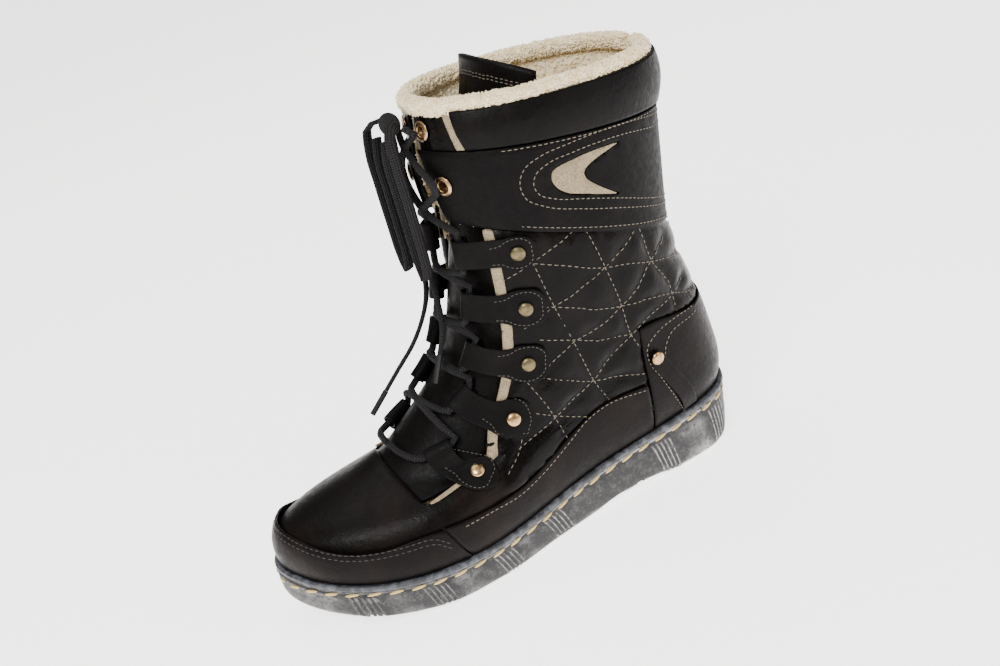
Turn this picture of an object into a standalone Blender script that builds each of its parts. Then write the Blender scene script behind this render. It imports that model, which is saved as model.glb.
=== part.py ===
"""Winter boot for the left foot, empty and standing on its sole.

The frame is in metres: +X to the outer side of the foot, -Y to the toe, +Z up. Its origin is on the floor
under the middle of the heel. Sizes below are in millimetres, and along_foot counts from the back of the sole.
"""
import bmesh
import bpy
import math
import numpy as np
from mathutils import Matrix, Vector

MM = 0.001
# Driving dimensions of the boot
SOLE_LENGTH = 285.0
BALL_WIDTH = 101.0
BOOT_HEIGHT = 240.0
HEEL_CENTRE = 33.0
GAP = 0.3
WALL = 2.4
# Sole
SOLE_THICK = 32.4
RIB_RISE = 0.9
RIB_PITCH = 2.8
RIBS_PER_GROUP = 5
RIB_LEAN = 7.0
CHANNEL_WIDTH = 8.0
CHANNEL_DEPTH = 2.0
HEEL_UNDERCUT = 5.0
WELT_THICK = 3.4
WELT_SETBACK = 0.7
INSOLE_THICK = 4.0
INSOLE_CLEARANCE = 1.3
# Leather laid over the upper
OVERLAY_THICK = 1.2
OVERLAY_GAP = 0.55
COLLAR_PUFF = 3.4
TONGUE_THICK = 3.0
TONGUE_LEAN = 30.0

# Outline of the sole seen from above, round from the heel over the outer side to the toe and back.
# Columns: share of SOLE_LENGTH, share of BALL_WIDTH to the outer side.
SOLE_OUTLINE = (
    (0.000, 0.000), (0.025, 0.210), (0.088, 0.335), (0.210, 0.366), (0.350, 0.366), (0.475, 0.405),
    (0.580, 0.465), (0.660, 0.495), (0.737, 0.490), (0.825, 0.436), (0.905, 0.327), (0.965, 0.168),
    (1.000, -0.070), (0.975, -0.287), (0.920, -0.406), (0.842, -0.475), (0.754, -0.505), (0.667, -0.475),
    (0.561, -0.396), (0.456, -0.327), (0.350, -0.307), (0.210, -0.327), (0.088, -0.317), (0.025, -0.198))
# Height of the top of the sole. Columns: share of SOLE_LENGTH, share of SOLE_THICK.
SOLE_TOP = (
    (0.00, 1.000), (0.10, 0.950), (0.25, 0.835), (0.40, 0.700), (0.53, 0.575), (0.66, 0.546),
    (0.80, 0.623), (0.90, 0.775), (1.00, 1.000))
# Height of the tread under the sole, the same columns.
SOLE_BOTTOM = (
    (0.00, 0.030), (0.035, 0.000), (0.205, 0.000), (0.235, 0.062), (0.355, 0.062), (0.385, 0.000),
    (0.660, 0.000), (0.740, 0.030), (0.820, 0.115), (0.900, 0.255), (1.00, 0.490))
# Where the upright ribs stand on the sole's side, and where the tread is notched, as shares of SOLE_LENGTH.
RIB_GROUPS = (0.078, 0.222, 0.488, 0.612, 0.758, 0.888)
WAIST_NOTCHES = (0.290, 0.352)

# Rows of the upper from the feather line to the collar, all lengths as shares.
# back_l, front_l: of SOLE_LENGTH; back_z, front_z: of BOOT_HEIGHT, on top of follow times the sole's top;
# heel_w, ball_w: of the outline's own width; round: 0 the sole's outline, 1 an oval; drop: of BALL_WIDTH.
ROW_COLUMNS = ("back_l", "back_z", "front_l", "front_z", "heel_w", "ball_w", "round", "drop", "follow")
UPPER_ROWS = (
    (0.020, 0.0013, 0.980, 0.0013, 0.860, 0.905, 0.00, 0.00, 1.00),
    (0.018, 0.0180, 0.981, 0.0180, 0.870, 0.910, 0.00, 0.00, 1.00),
    (0.010, 0.0570, 0.984, 0.0460, 0.970, 0.945, 0.00, 0.00, 1.00),
    (0.009, 0.1260, 0.979, 0.1100, 1.000, 0.940, 0.05, 0.01, 0.80),
    (0.015, 0.1940, 0.962, 0.1650, 1.020, 0.895, 0.10, 0.03, 0.60),
    (0.020, 0.2625, 0.932, 0.2060, 1.030, 0.810, 0.15, 0.06, 0.40),
    (0.026, 0.3250, 0.888, 0.2370, 1.030, 0.740, 0.20, 0.10, 0.25),
    (0.033, 0.3800, 0.830, 0.2610, 1.030, 0.690, 0.25, 0.13, 0.12),
    (0.042, 0.4180, 0.770, 0.2830, 1.020, 0.670, 0.30, 0.14, 0.05),
    (0.050, 0.4500, 0.714, 0.3300, 1.010, 0.690, 0.40, 0.12, 0.00),
    (0.056, 0.4710, 0.662, 0.3750, 1.000, 0.690, 0.50, 0.10, 0.00),
    (0.061, 0.4920, 0.612, 0.4180, 0.990, 0.710, 0.60, 0.07, 0.00),
    (0.065, 0.5125, 0.572, 0.4710, 0.980, 0.750, 0.70, 0.04, 0.00),
    (0.069, 0.5330, 0.543, 0.5450, 0.960, 0.810, 0.80, 0.01, 0.00),
    (0.072, 0.5580, 0.518, 0.6500, 0.930, 0.880, 0.90, 0.00, 0.00),
    (0.073, 0.5920, 0.508, 0.7830, 0.920, 0.920, 1.00, 0.00, 0.00),
    (0.068, 0.6580, 0.512, 0.8330, 0.925, 0.925, 1.00, 0.00, 0.00),
    (0.058, 0.7500, 0.514, 0.8870, 0.930, 0.930, 1.00, 0.00, 0.00),
    (0.047, 0.8670, 0.510, 0.9420, 0.930, 0.930, 1.00, 0.00, 0.00),
    (0.040, 0.9250, 0.506, 0.9790, 0.930, 0.930, 1.00, 0.00, 0.00),
    (0.036, 0.9790, 0.500, 1.0190, 0.935, 0.935, 1.00, 0.00, 0.00))
CUFF_ROW = 15.0
COLLAR_ROW = 18.0
RIM_ROW = 20.0
OVAL_POWER = 2.2

# Half width of the throat opening. Columns: share of BOOT_HEIGHT, share of BALL_WIDTH.
THROAT = (
    (0.208, 0.400), (0.242, 0.370), (0.317, 0.325), (0.417, 0.307), (0.537, 0.300), (0.660, 0.297),
    (0.766, 0.292))
# The same above the cuff's lower seam, where the facings run forward to the eyelets.
FACING = ((0.780, 0.130), (0.875, 0.105), (0.975, 0.036), (1.100, 0.022))
# The back edge of the vamp. Columns: share of BALL_WIDTH off the middle, share of SOLE_LENGTH.
VAMP_EDGE = ((0.000, 0.747), (0.120, 0.740), (0.240, 0.732), (0.396, 0.724))

# Edges of the overlays as lines along the foot. Columns: share of SOLE_LENGTH, share of BOOT_HEIGHT.
TOE_BAND_TOP = (
    (0.700, 0.186), (0.737, 0.191), (0.782, 0.190), (0.829, 0.186), (0.868, 0.192), (0.912, 0.208),
    (0.937, 0.225), (1.000, 0.258))
TOE_BAND_END = (0.677, 0.716)
MUDGUARD_TOP = (
    (0.236, 0.266), (0.323, 0.272), (0.376, 0.262), (0.430, 0.235), (0.500, 0.200), (0.554, 0.186),
    (0.620, 0.184), (0.688, 0.188), (0.720, 0.190))
COUNTER_TOP = ((0.000, 0.388), (0.088, 0.390), (0.140, 0.400), (0.190, 0.412), (0.246, 0.412))
COUNTER_FRONT = 0.232
# The suede inlay in the cuff, round from its back upper tip; the same columns.
INLAY_OUTLINE = (
    (0.201, 0.850), (0.265, 0.858), (0.332, 0.853), (0.346, 0.838), (0.344, 0.815), (0.325, 0.791),
    (0.284, 0.770), (0.222, 0.742), (0.255, 0.775), (0.279, 0.803), (0.283, 0.821), (0.267, 0.832),
    (0.237, 0.841))

# Lace tabs from the top down. Columns: the rivet's share of SOLE_LENGTH and of BOOT_HEIGHT, then the loop's
# place at the throat: share of BALL_WIDTH off the middle, share of BOOT_HEIGHT; last, share of TAB_SIZE.
TABS = (
    (0.426, 0.699, 0.180, 0.713, 0.86), (0.437, 0.572, 0.180, 0.596, 1.0), (0.459, 0.445, 0.190, 0.487, 1.0),
    (0.517, 0.337, 0.205, 0.402, 1.0), (0.613, 0.255, 0.235, 0.312, 0.95))
TAB_SIZE = 21.0
TAB_CORNER = 7.0
STRAP_WIDTH = 15.0
LOOP_BORE = 6.8
LOOP_WALL = 1.2
LOOP_LIFT = 2.2
TAB_LIFT = 1.45
RIVET_WIDTH = 8.2
RIVET_RISE = 2.2
COUNTER_RIVET = (0.208, 0.326)
COUNTER_STRAP_FOOT = (0.146, 0.156)
COUNTER_STRAP_WIDTH = 9.5
COLLAR_END = (0.312, 0.272)
# Eyelets from the top down. Columns: row of the last, share of BALL_WIDTH off the middle.
EYELETS = ((18.97, 0.106), (16.71, 0.195))
EYELET_WIDTH = 11.0
EYELET_BORE = 5.6
EYELET_BARREL = 0.7
EYELET_RISE = 1.1
EDGING_WIDTH = 4.5
EDGING_GAP = 0.35
EDGING_THICK = 0.5
TONGUE_HALF = (0.34, 0.375)
TONGUE_DROOP = 1.0
TONGUE_TOP_ROW = 21.6
# The lace
LACE_THICK = 3.6
CROSSING_THICK = 4.0
KNOT_SIZE = (16.0, 11.0, 12.0)
KNOT_PLACE = (0.0, 154.5, 240.5)
AGLET_LENGTH = 15.0
AGLET_THICK = 3.0
# Routes of the bow's loops and ends, hanging from the knot down the front of the boot, in millimetres:
# out, along_foot, up.
BOW_LOOP = (
    (8.9, 155.6, 241.6), (13.6, 160.5, 240.0), (17.5, 162.8, 228.0), (18.5, 163.0, 208.0), (18.2, 163.0, 186.0),
    (16.6, 163.0, 168.0), (12.6, 163.0, 161.5), (8.4, 163.0, 168.0), (7.0, 163.0, 186.0), (6.6, 163.0, 208.0),
    (6.2, 163.0, 224.0), (5.8, 161.0, 234.9))
LONG_END = (
    (-2.6, 155.6, 234.7), (-3.5, 156.8, 222.0), (-3.6, 157.0, 205.0), (-3.8, 157.0, 185.0), (-4.4, 157.5, 165.0),
    (-6.5, 159.5, 147.0), (-11.0, 165.0, 131.5), (-13.0, 173.5, 119.5), (-14.0, 184.0, 110.0),
    (-14.0, 194.5, 101.0))
SHORT_END = (
    (2.6, 155.6, 234.7), (3.5, 156.8, 222.0), (3.6, 157.0, 205.0), (3.8, 157.0, 185.0), (4.4, 157.5, 165.0),
    (6.5, 159.0, 148.0), (12.0, 162.5, 133.0), (14.0, 168.5, 121.5))


# The last: every piece of the upper is worked out from this one surface
def along(table, at):
    """Read a table of rows (place, value, ...) at a place, on a smooth curve that runs on straight past its ends."""
    table = np.asarray(table, float)
    place, value = table[:, 0], table[:, 1:]
    slope = np.gradient(value, place, axis=0)
    at = np.asarray(at, float)
    k = np.clip(np.searchsorted(place, at) - 1, 0, len(place) - 2)
    width = (place[k + 1] - place[k])[..., None]
    t = np.clip((at - place[k])[..., None] / width, 0.0, 1.0)
    inside = (value[k] * (1 + 2 * t) * (1 - t) ** 2 + slope[k] * width * t * (1 - t) ** 2
              + value[k + 1] * t * t * (3 - 2 * t) - slope[k + 1] * width * t * t * (1 - t))
    past = np.maximum(at - place[-1], 0.0)[..., None] * slope[-1]
    short = np.minimum(at - place[0], 0.0)[..., None] * slope[0]
    return inside + past + short


def closed_curve(points, steps=12):
    """A smooth closed curve through points, as an array."""
    ring = np.asarray(points, float)
    before, after, beyond = np.roll(ring, 1, 0), np.roll(ring, -1, 0), np.roll(ring, -2, 0)
    pieces = []
    for t in np.arange(steps) / steps:
        pieces.append(0.5 * (2 * ring + (after - before) * t + (2 * before - 5 * ring + 4 * after - beyond) * t ** 2
                             + (3 * ring - before - 3 * after + beyond) * t ** 3))
    return np.stack(pieces, 1).reshape(-1, 2)


def sole_sides():
    """The outer and the inner branch of the sole's outline, each from heel to toe."""
    ring = closed_curve(SOLE_OUTLINE)
    heel, toe = int(np.argmin(ring[:, 0])), int(np.argmax(ring[:, 0]))
    ring = np.roll(ring, -heel, 0)
    toe = (toe - heel) % len(ring)
    outer = ring[:toe + 1]
    inner = np.vstack((ring[toe:], ring[:1]))[::-1]
    branches = []
    for branch in (outer, inner):
        share = (branch[:, 0] - branch[0, 0]) / (branch[-1, 0] - branch[0, 0])
        branches.append((np.maximum.accumulate(share), branch[:, 1] * BALL_WIDTH))
    return branches


OUTER_SIDE, INNER_SIDE = sole_sides()
ROW_TABLE = [(i,) + row for i, row in enumerate(UPPER_ROWS)]


def sole_edge(share, side):
    """How far out the sole's edge stands at a share of its length."""
    share, side = np.broadcast_arrays(share, side)
    return np.where(side > 0, np.interp(share, *OUTER_SIDE), np.interp(share, *INNER_SIDE))


def sole_top(length):
    return along(SOLE_TOP, np.clip(length / SOLE_LENGTH, 0.0, 1.0))[..., 0] * SOLE_THICK


def sole_bottom(length):
    return np.maximum(along(SOLE_BOTTOM, np.clip(length / SOLE_LENGTH, 0.0, 1.0))[..., 0], 0.0) * SOLE_THICK


def last_flat(turn, row):
    """A point of the last as (out, along_foot, up). turn runs from the toe (0) over the outer side to the heel (0.5)."""
    turn, row = np.broadcast_arrays(np.asarray(turn, float), np.asarray(row, float))
    columns = np.moveaxis(along(ROW_TABLE, row), -1, 0)
    back_l, back_z, front_l, front_z, heel_w, ball_w, oval, drop, follow = columns
    cosine, sine = np.cos(2 * math.pi * turn), np.sin(2 * math.pi * turn)
    side = np.where(sine >= 0, 1.0, -1.0)
    share = (1 + np.sign(cosine) * np.abs(cosine) ** (2 / OVAL_POWER)) / 2
    length = (back_l + (front_l - back_l) * share) * SOLE_LENGTH
    scale = heel_w + (ball_w - heel_w) * share * share * (3 - 2 * share)
    round_half = side * np.abs(sine) ** (2 / OVAL_POWER) * BALL_WIDTH / 2
    out = scale * ((1 - oval) * sole_edge(share, side) + oval * round_half)
    up = (follow * sole_top(length) + (back_z + (front_z - back_z) * share) * BOOT_HEIGHT
          - drop * BALL_WIDTH * sine ** 2)
    return np.stack((out, length, up), -1)


def last_normal(turn, row, step=1e-3):
    turn, row = np.broadcast_arrays(np.asarray(turn, float), np.asarray(row, float))
    flip = np.array((1.0, -1.0, 1.0))
    around = (last_flat(turn + step, row) - last_flat(turn - step, row)) * flip
    upward = (last_flat(turn, row + 20 * step) - last_flat(turn, row - 20 * step)) * flip
    normal = np.cross(around, upward)
    normal /= np.linalg.norm(normal, axis=-1, keepdims=True)
    return normal * flip


def last(turn, row, lift=0.0):
    """A point of the last, raised off it by lift."""
    lift = np.asarray(lift, float)[..., None]
    return last_flat(turn, row) + last_normal(turn, row) * lift


def solve(function, low, high, rounds=40):
    """Where a falling function crosses zero, for arrays of bounds."""
    low, high = np.broadcast_arrays(np.asarray(low, float), np.asarray(high, float))
    low, high = low.copy(), high.copy()
    for _ in range(rounds):
        middle = (low + high) / 2
        above = function(middle) > 0
        low = np.where(above, middle, low)
        high = np.where(above, high, middle)
    return (low + high) / 2


def throat_turn(row):
    """How far round from the toe line the throat's edge stands on a row."""
    def inside(turn):
        out, _, up = np.moveaxis(last_flat(turn, row), -1, 0)
        low = np.interp(up / BOOT_HEIGHT, *np.transpose(THROAT))
        high = np.interp(up / BOOT_HEIGHT, *np.transpose(FACING))
        return np.where(row > CUFF_ROW, high, low) * BALL_WIDTH - out
    return solve(inside, np.zeros_like(row, float), 0.25)


def vamp_row(turn):
    """The row on which the vamp's back edge lies."""
    def ahead(row):
        out, length, _ = np.moveaxis(last_flat(turn, row), -1, 0)
        edge = along(VAMP_EDGE, np.abs(out) / BALL_WIDTH)[..., 0] * SOLE_LENGTH
        return length - edge
    return solve(ahead, 1.0, np.full_like(np.asarray(turn, float), 13.0))


def throat_corner():
    """Row and turn where the throat's edge meets the vamp's edge."""
    def ahead(row):
        return row * 0 + vamp_row(throat_turn(row)) - row
    row = float(solve(ahead, 1.5, 8.0))
    return row, float(throat_turn(np.array(row)))


def turn_at(length, row, side=1):
    """The turn where a row passes a place along the foot."""
    def ahead(turn):
        return last_flat(turn, row)[..., 1] - length
    turn = solve(ahead, 0.0, np.full_like(np.asarray(row, float) + np.asarray(length, float), 0.5))
    return turn if side > 0 else 1 - turn


def row_at(turn, line):
    """The row where a column of the last crosses a line of heights along the foot. Columns: shares of
    SOLE_LENGTH and BOOT_HEIGHT."""
    line = np.asarray(sorted(line), float)

    def below(row):
        _, length, up = np.moveaxis(last_flat(turn, row), -1, 0)
        return np.interp(length / SOLE_LENGTH, line[:, 0], line[:, 1]) * BOOT_HEIGHT - up
    return solve(below, 0.0, np.full_like(np.asarray(turn, float), 20.0))


def settle(points, turn, row, rounds=8):
    """The nearest places on the last to some points, as turns and rows, from a first guess."""
    points = np.asarray(points, float)
    turn = np.full(points.shape[:-1], turn, float)
    row = np.full(points.shape[:-1], row, float)
    for _ in range(rounds):
        here = last_flat(turn, row)
        around = (last_flat(turn + 1e-3, row) - last_flat(turn - 1e-3, row)) / 2e-3
        upward = (last_flat(turn, row + 1e-2) - last_flat(turn, row - 1e-2)) / 2e-2
        off = points - here
        aa, ab, bb = (around * around).sum(-1), (around * upward).sum(-1), (upward * upward).sum(-1)
        ra, rb = (around * off).sum(-1), (upward * off).sum(-1)
        det = aa * bb - ab * ab
        turn = turn + np.clip((ra * bb - rb * ab) / det, -0.02, 0.02)
        row = row + np.clip((aa * rb - ab * ra) / det, -0.8, 0.8)
    return turn, row


def side_place(length, up, side):
    """Turn and row of the last's side at a place along the foot and a height."""
    def above(row):
        return up - last_flat(turn_at(length, row), row)[..., 2]
    row = float(solve(above, 0.5, np.array(20.4)))
    turn = float(turn_at(length, np.array(row)))
    return (turn if side > 0 else 1 - turn), row


# Scene, materials and mesh helpers
def world(points):
    """From (out, along_foot, up) in millimetres to the part's frame in metres."""
    points = np.asarray(points, float)
    return np.stack((points[..., 0], HEEL_CENTRE - points[..., 1], points[..., 2]), -1) * MM


def clear_scene():
    for thing in list(bpy.data.objects):
        bpy.data.objects.remove(thing, do_unlink=True)


def material(name, colour, roughness, metallic=0.0):
    made = bpy.data.materials.new(name)
    made.use_nodes = True
    shader = made.node_tree.nodes["Principled BSDF"]
    shader.inputs["Base Color"].default_value = (*colour, 1.0)
    shader.inputs["Roughness"].default_value = roughness
    shader.inputs["Metallic"].default_value = metallic
    return made


clear_scene()
BOOT = bpy.data.collections.new("winter_boot")
CUTTERS = bpy.data.collections.new("cutters")
bpy.context.scene.collection.children.link(BOOT)
bpy.context.scene.collection.children.link(CUTTERS)
LEATHER = material("black_leather", (0.022, 0.018, 0.016), 0.42)
PUFFED = material("quilted_leather", (0.018, 0.016, 0.016), 0.30)
SUEDE = material("beige_suede", (0.47, 0.40, 0.28), 0.85)
RUBBER = material("grey_rubber", (0.10, 0.095, 0.09), 0.75)
WELT_RUBBER = material("welt_rubber", (0.16, 0.17, 0.19), 0.55)
FLEECE = material("cream_fleece", (0.78, 0.70, 0.52), 0.95)
BRASS = material("aged_brass", (0.60, 0.47, 0.28), 0.38, 1.0)
WOVEN = material("black_lace", (0.015, 0.014, 0.014), 0.80)
TIP = material("black_tip", (0.010, 0.010, 0.010), 0.35)


def add_object(name, mesh, finish, smooth=True, collection=BOOT):
    made = bpy.data.objects.new(name, mesh)
    collection.objects.link(made)
    if finish is not None:
        mesh.materials.append(finish)
    if smooth:
        mesh.shade_smooth()
        mesh.set_sharp_from_angle(angle=math.radians(40))
    return made


def mesh_of(name, vertices, faces):
    mesh = bpy.data.meshes.new(name)
    mesh.from_pydata([tuple(v) for v in vertices], [], faces)
    mesh.update()
    return mesh


def shell(name, grid, thick, finish, outward=True, even=True):
    """A sheet given as a grid of points (rows up, columns round) with a wall grown from it."""
    rows, columns = grid.shape[:2]
    vertices = world(grid).reshape(-1, 3)
    faces = [(j * columns + k, j * columns + k + 1, (j + 1) * columns + k + 1, (j + 1) * columns + k)
             for j in range(rows - 1) for k in range(columns - 1)]
    made = add_object(name, mesh_of(name, vertices, faces), finish)
    wall = made.modifiers.new("wall", "SOLIDIFY")
    wall.thickness = thick * MM
    wall.offset = 1.0 if outward else -1.0
    wall.use_even_offset = even
    return made


def ring_solid(name, loops, finish):
    """A closed band: loops of equal length, the last joined to the first."""
    count, size = len(loops), len(loops[0])
    vertices = world(np.concatenate(loops))
    faces = [(i * size + k, i * size + (k + 1) % size, (i + 1) % count * size + (k + 1) % size,
              (i + 1) % count * size + k) for i in range(count) for k in range(size)]
    return add_object(name, mesh_of(name, vertices, faces), finish)


def inset_loop(loop, distance):
    """A plan outline moved inwards along its own normal."""
    ahead, behind = np.roll(loop, -1, 0), np.roll(loop, 1, 0)
    tangent = ahead - behind
    tangent /= np.linalg.norm(tangent, axis=1, keepdims=True)
    normal = np.stack((-tangent[:, 1], tangent[:, 0]), 1)
    distance = np.broadcast_to(distance, len(loop))
    return loop + normal * distance[:, None]


def capped(name, loops, finish):
    """Loops stacked from the bottom up, each run round the same stations on both sides, closed across the foot."""
    size = len(loops[0])
    toe = size // 2
    faces = [(i * size + k, i * size + (k + 1) % size, (i + 1) * size + (k + 1) % size, (i + 1) * size + k)
             for i in range(len(loops) - 1) for k in range(size)]
    for i in (0, len(loops) - 1):
        base = i * size
        across = [(base, base + 1, base + size - 1), (base + toe - 1, base + toe, base + toe + 1)]
        across += [(base + k, base + k + 1, base + size - k - 1, base + size - k) for k in range(1, toe - 1)]
        faces += [face[::-1] for face in across] if i == 0 else across
    made = add_object(name, mesh_of(name, world(np.concatenate(loops)), faces), finish)
    face_outwards(made.data)
    return made


def face_outwards(mesh):
    work = bmesh.new()
    work.from_mesh(mesh)
    bmesh.ops.recalc_face_normals(work, faces=work.faces)
    work.to_mesh(mesh)
    work.free()


def sheet_solid(name, under, over, finish):
    """A closed piece between two grids of points, rows up and columns round."""
    up, wide = over.shape[:2]
    count = up * wide
    vertices = world(np.concatenate((over.reshape(-1, 3), under.reshape(-1, 3))))
    faces = []
    for j in range(up - 1):
        for k in range(wide - 1):
            quad = (j * wide + k, j * wide + k + 1, (j + 1) * wide + k + 1, (j + 1) * wide + k)
            faces += [quad, tuple(count + v for v in quad[::-1])]
    edge = list(range(wide)) + [j * wide + wide - 1 for j in range(1, up)]
    edge += [(up - 1) * wide + k for k in range(wide - 2, -1, -1)] + [j * wide for j in range(up - 2, 0, -1)]
    faces += [(b, a, count + a, count + b) for a, b in zip(edge, edge[1:] + edge[:1])]
    made = add_object(name, mesh_of(name, vertices, faces), finish)
    face_outwards(made.data)
    return made


def slab(name, turns, rows, low, high, finish):
    """A closed piece laid on the last, between two lifts off it."""
    turns, rows, low, high = np.broadcast_arrays(turns, rows, low, high)
    return sheet_solid(name, last(turns, rows, low), last(turns, rows, high), finish)


def cut(target, cutter, operation="DIFFERENCE"):
    """Cut one object by another, which stays as a hidden guide."""
    cutter.hide_render = True
    cutter.display_type = "WIRE"
    step = target.modifiers.new("cut", "BOOLEAN")
    step.operation = operation
    step.object = cutter


# Sole
def outsole_stations():
    """Shares of the sole's length for its outline, with how far each stands out as a rib."""
    half = RIBS_PER_GROUP * RIB_PITCH / SOLE_LENGTH / 2
    plain = [(1 - math.cos(math.pi * k / 22)) / 2 for k in range(23)]
    stations = [(share, 0.0) for share in plain
                if all(abs(share - centre) > half * 1.25 for centre in RIB_GROUPS)]
    for centre in RIB_GROUPS:
        for k in range(2 * RIBS_PER_GROUP + 1):
            stations.append((centre - half + k * RIB_PITCH / SOLE_LENGTH / 2, (k % 2 - 0.5) * RIB_RISE))
    return np.array(sorted(stations))


# Columns: share of the side's height, setback, share of the ribs' relief.
OUTSOLE_LEVELS = (
    (0.00, 2.8, 0.0), (0.12, 0.6, 0.6), (0.30, 0.2, 1.0), (0.82, 0.4, 1.0), (0.92, 1.9, 0.0), (1.00, 1.3, 0.0))


def make_outsole():
    stations = outsole_stations()
    relief = np.concatenate((stations[:, 1], stations[-2:0:-1, 1]))
    loops = []
    for height, setback, ribs in OUTSOLE_LEVELS:
        lean = RIB_LEAN / SOLE_LENGTH * (height - 0.5) * np.sin(np.pi * stations[:, 0]) ** 0.5
        share = np.clip(stations[:, 0] + lean, 0.0, 1.0)
        outer = np.stack((sole_edge(share, np.ones_like(share)), share * SOLE_LENGTH), 1)
        inner = np.stack((sole_edge(share, -np.ones_like(share)), share * SOLE_LENGTH), 1)
        plan = np.concatenate((outer, inner[-2:0:-1]))
        under = HEEL_UNDERCUT * (1 - height) * np.clip(1 - plan[:, 1] / HEEL_CENTRE, 0.0, 1.0)
        plan = inset_loop(plan, setback + under - relief * ribs)
        low, high = sole_bottom(plan[:, 1]), sole_top(plan[:, 1])
        loops.append(np.column_stack((plan, low + (high - low) * height)))
    outsole = capped("outsole", loops, RUBBER)
    channels = [(centre - RIB_LEAN / 2 / SOLE_LENGTH, CHANNEL_WIDTH) for centre in RIB_GROUPS]
    channels += [(centre, CHANNEL_WIDTH / 2) for centre in WAIST_NOTCHES]
    work = bmesh.new()
    for centre, width in channels:
        length = centre * SOLE_LENGTH
        rise = float(sole_bottom(length + 4) - sole_bottom(length - 4)) / 8
        tall = CHANNEL_DEPTH * 3
        place = Matrix.Translation(world((0, length, float(sole_bottom(length)) + CHANNEL_DEPTH - tall / 2)))
        turned = Matrix.Rotation(-math.atan(rise), 4, "X")
        size = Matrix.Diagonal((BALL_WIDTH * 1.4 * MM, width * MM, tall * MM, 1.0))
        bmesh.ops.create_cube(work, size=1.0, matrix=place @ turned @ size)
    mesh = bpy.data.meshes.new("tread_channels")
    work.to_mesh(mesh)
    work.free()
    cut(outsole, add_object("tread_channels", mesh, None, smooth=False, collection=CUTTERS))


def turn_share(turn):
    cosine = np.cos(2 * math.pi * turn)
    return (1 + np.sign(cosine) * np.abs(cosine) ** (2 / OVAL_POWER)) / 2


def make_welt():
    count = 76
    turn = 0.5 - np.arange(count) / count
    share = turn_share(turn)
    side = np.where(np.sin(2 * math.pi * turn) >= 0, 1.0, -1.0)
    plan = np.stack((sole_edge(share, side), share * SOLE_LENGTH), 1)

    def outer(setback, rise):
        edge = inset_loop(plan, setback)
        return np.column_stack((edge, sole_top(edge[:, 1]) + GAP + rise))

    def inner(row, rise):
        edge = last(turn, np.full(count, row), GAP * 2.2)
        edge[:, 2] = sole_top(edge[:, 1]) + GAP + rise
        return edge
    loops = [outer(WELT_SETBACK + 0.8, 0), outer(WELT_SETBACK, WELT_THICK * 0.35),
             outer(WELT_SETBACK + 0.2, WELT_THICK * 0.75), outer(WELT_SETBACK + 1.2, WELT_THICK),
             inner(0.8, WELT_THICK), inner(0.0, 0)]
    welt = ring_solid("welt", loops, WELT_RUBBER)
    face_outwards(welt.data)


def make_insole():
    count = 56
    turn = 0.5 - np.arange(count) / count
    edge = last_flat(turn, np.full(count, 0.3))[:, :2]
    edge = inset_loop(edge, WALL + INSOLE_CLEARANCE)
    floor = sole_top(edge[:, 1]) + GAP
    loops = [np.column_stack((edge, floor)), np.column_stack((edge, floor + INSOLE_THICK))]
    capped("insole", loops, FLEECE)


# Upper
LOW_ROWS = (0.0, 1.0, 1.8, 2.7, 3.6, 4.6)
HIGH_ROWS = (6.6, 7.8, 9.1, 10.5, 12.0, 13.5, 15.0, 15.02, 16.0, 17.0, 18.0, 19.0, 20.0)
SIDE_COLUMNS = 38
FRONT_COLUMNS = 8


def round_share():
    """Shares of the way round from one side of the throat to the other, closer at its ends and at the heel."""
    share = np.arange(SIDE_COLUMNS + 1) / SIDE_COLUMNS
    return share - 0.35 * np.sin(4 * math.pi * share) / (4 * math.pi)


def make_upper():
    """The lasted wall: closed round the toe below the vamp's edge, open at the throat above it and underneath."""
    corner_row, corner_turn = throat_corner()
    share = round_share()
    front = np.linspace(1 - corner_turn, 1 + corner_turn, FRONT_COLUMNS + 1)[1:-1]
    reach = vamp_row(front) - corner_row
    lines = []
    for row in LOW_ROWS + (corner_row,):
        side = corner_turn + (1 - 2 * corner_turn) * share
        climb = max(0.0, (row - 1) / (corner_row - 1)) ** 1.3
        turns = np.concatenate((side, front))
        rows = np.concatenate((np.full_like(side, row), row + reach * climb))
        lines.append(last(turns, rows))
    for row in HIGH_ROWS:
        edge = float(throat_turn(np.array(row)))
        lines.append(last(edge + (1 - 2 * edge) * share, np.full_like(share, row)))
    starts = np.cumsum([0] + [len(line) for line in lines])
    faces = []
    for j in range(len(lines) - 1):
        ring = len(lines[j + 1]) > len(share)
        width = len(lines[j]) if ring else SIDE_COLUMNS
        for k in range(width):
            ahead = (k + 1) % len(lines[j]) if ring else k + 1
            faces.append((starts[j] + k, starts[j] + ahead, starts[j + 1] + ahead, starts[j + 1] + k))
    faces = [tuple(int(v) for v in face) for face in faces]
    upper = add_object("upper", mesh_of("upper", world(np.concatenate(lines)), faces), LEATHER)
    wall = upper.modifiers.new("wall", "SOLIDIFY")
    wall.thickness = WALL * MM
    wall.offset = -1.0
    wall.use_even_offset = True
    return upper


WELT_TOP_ROW = 1.06


def band_end(height):
    """Turn of the toe band's end on the outer side, from the welt (0) to the band's top (1)."""
    length = (TOE_BAND_END[0] + (TOE_BAND_END[1] - TOE_BAND_END[0]) * height) * SOLE_LENGTH
    return turn_at(length, WELT_TOP_ROW + 2.4 * height)


def make_toe_band():
    height = np.linspace(0, 1, 5)[:, None]
    across = np.linspace(-1, 1, 27)[None, :]
    turns = band_end(height) * across
    rows = WELT_TOP_ROW + (row_at(turns, TOE_BAND_TOP) - WELT_TOP_ROW) * height
    slab("toe_band", turns, rows, OVERLAY_GAP, OVERLAY_GAP + OVERLAY_THICK, LEATHER)


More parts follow.
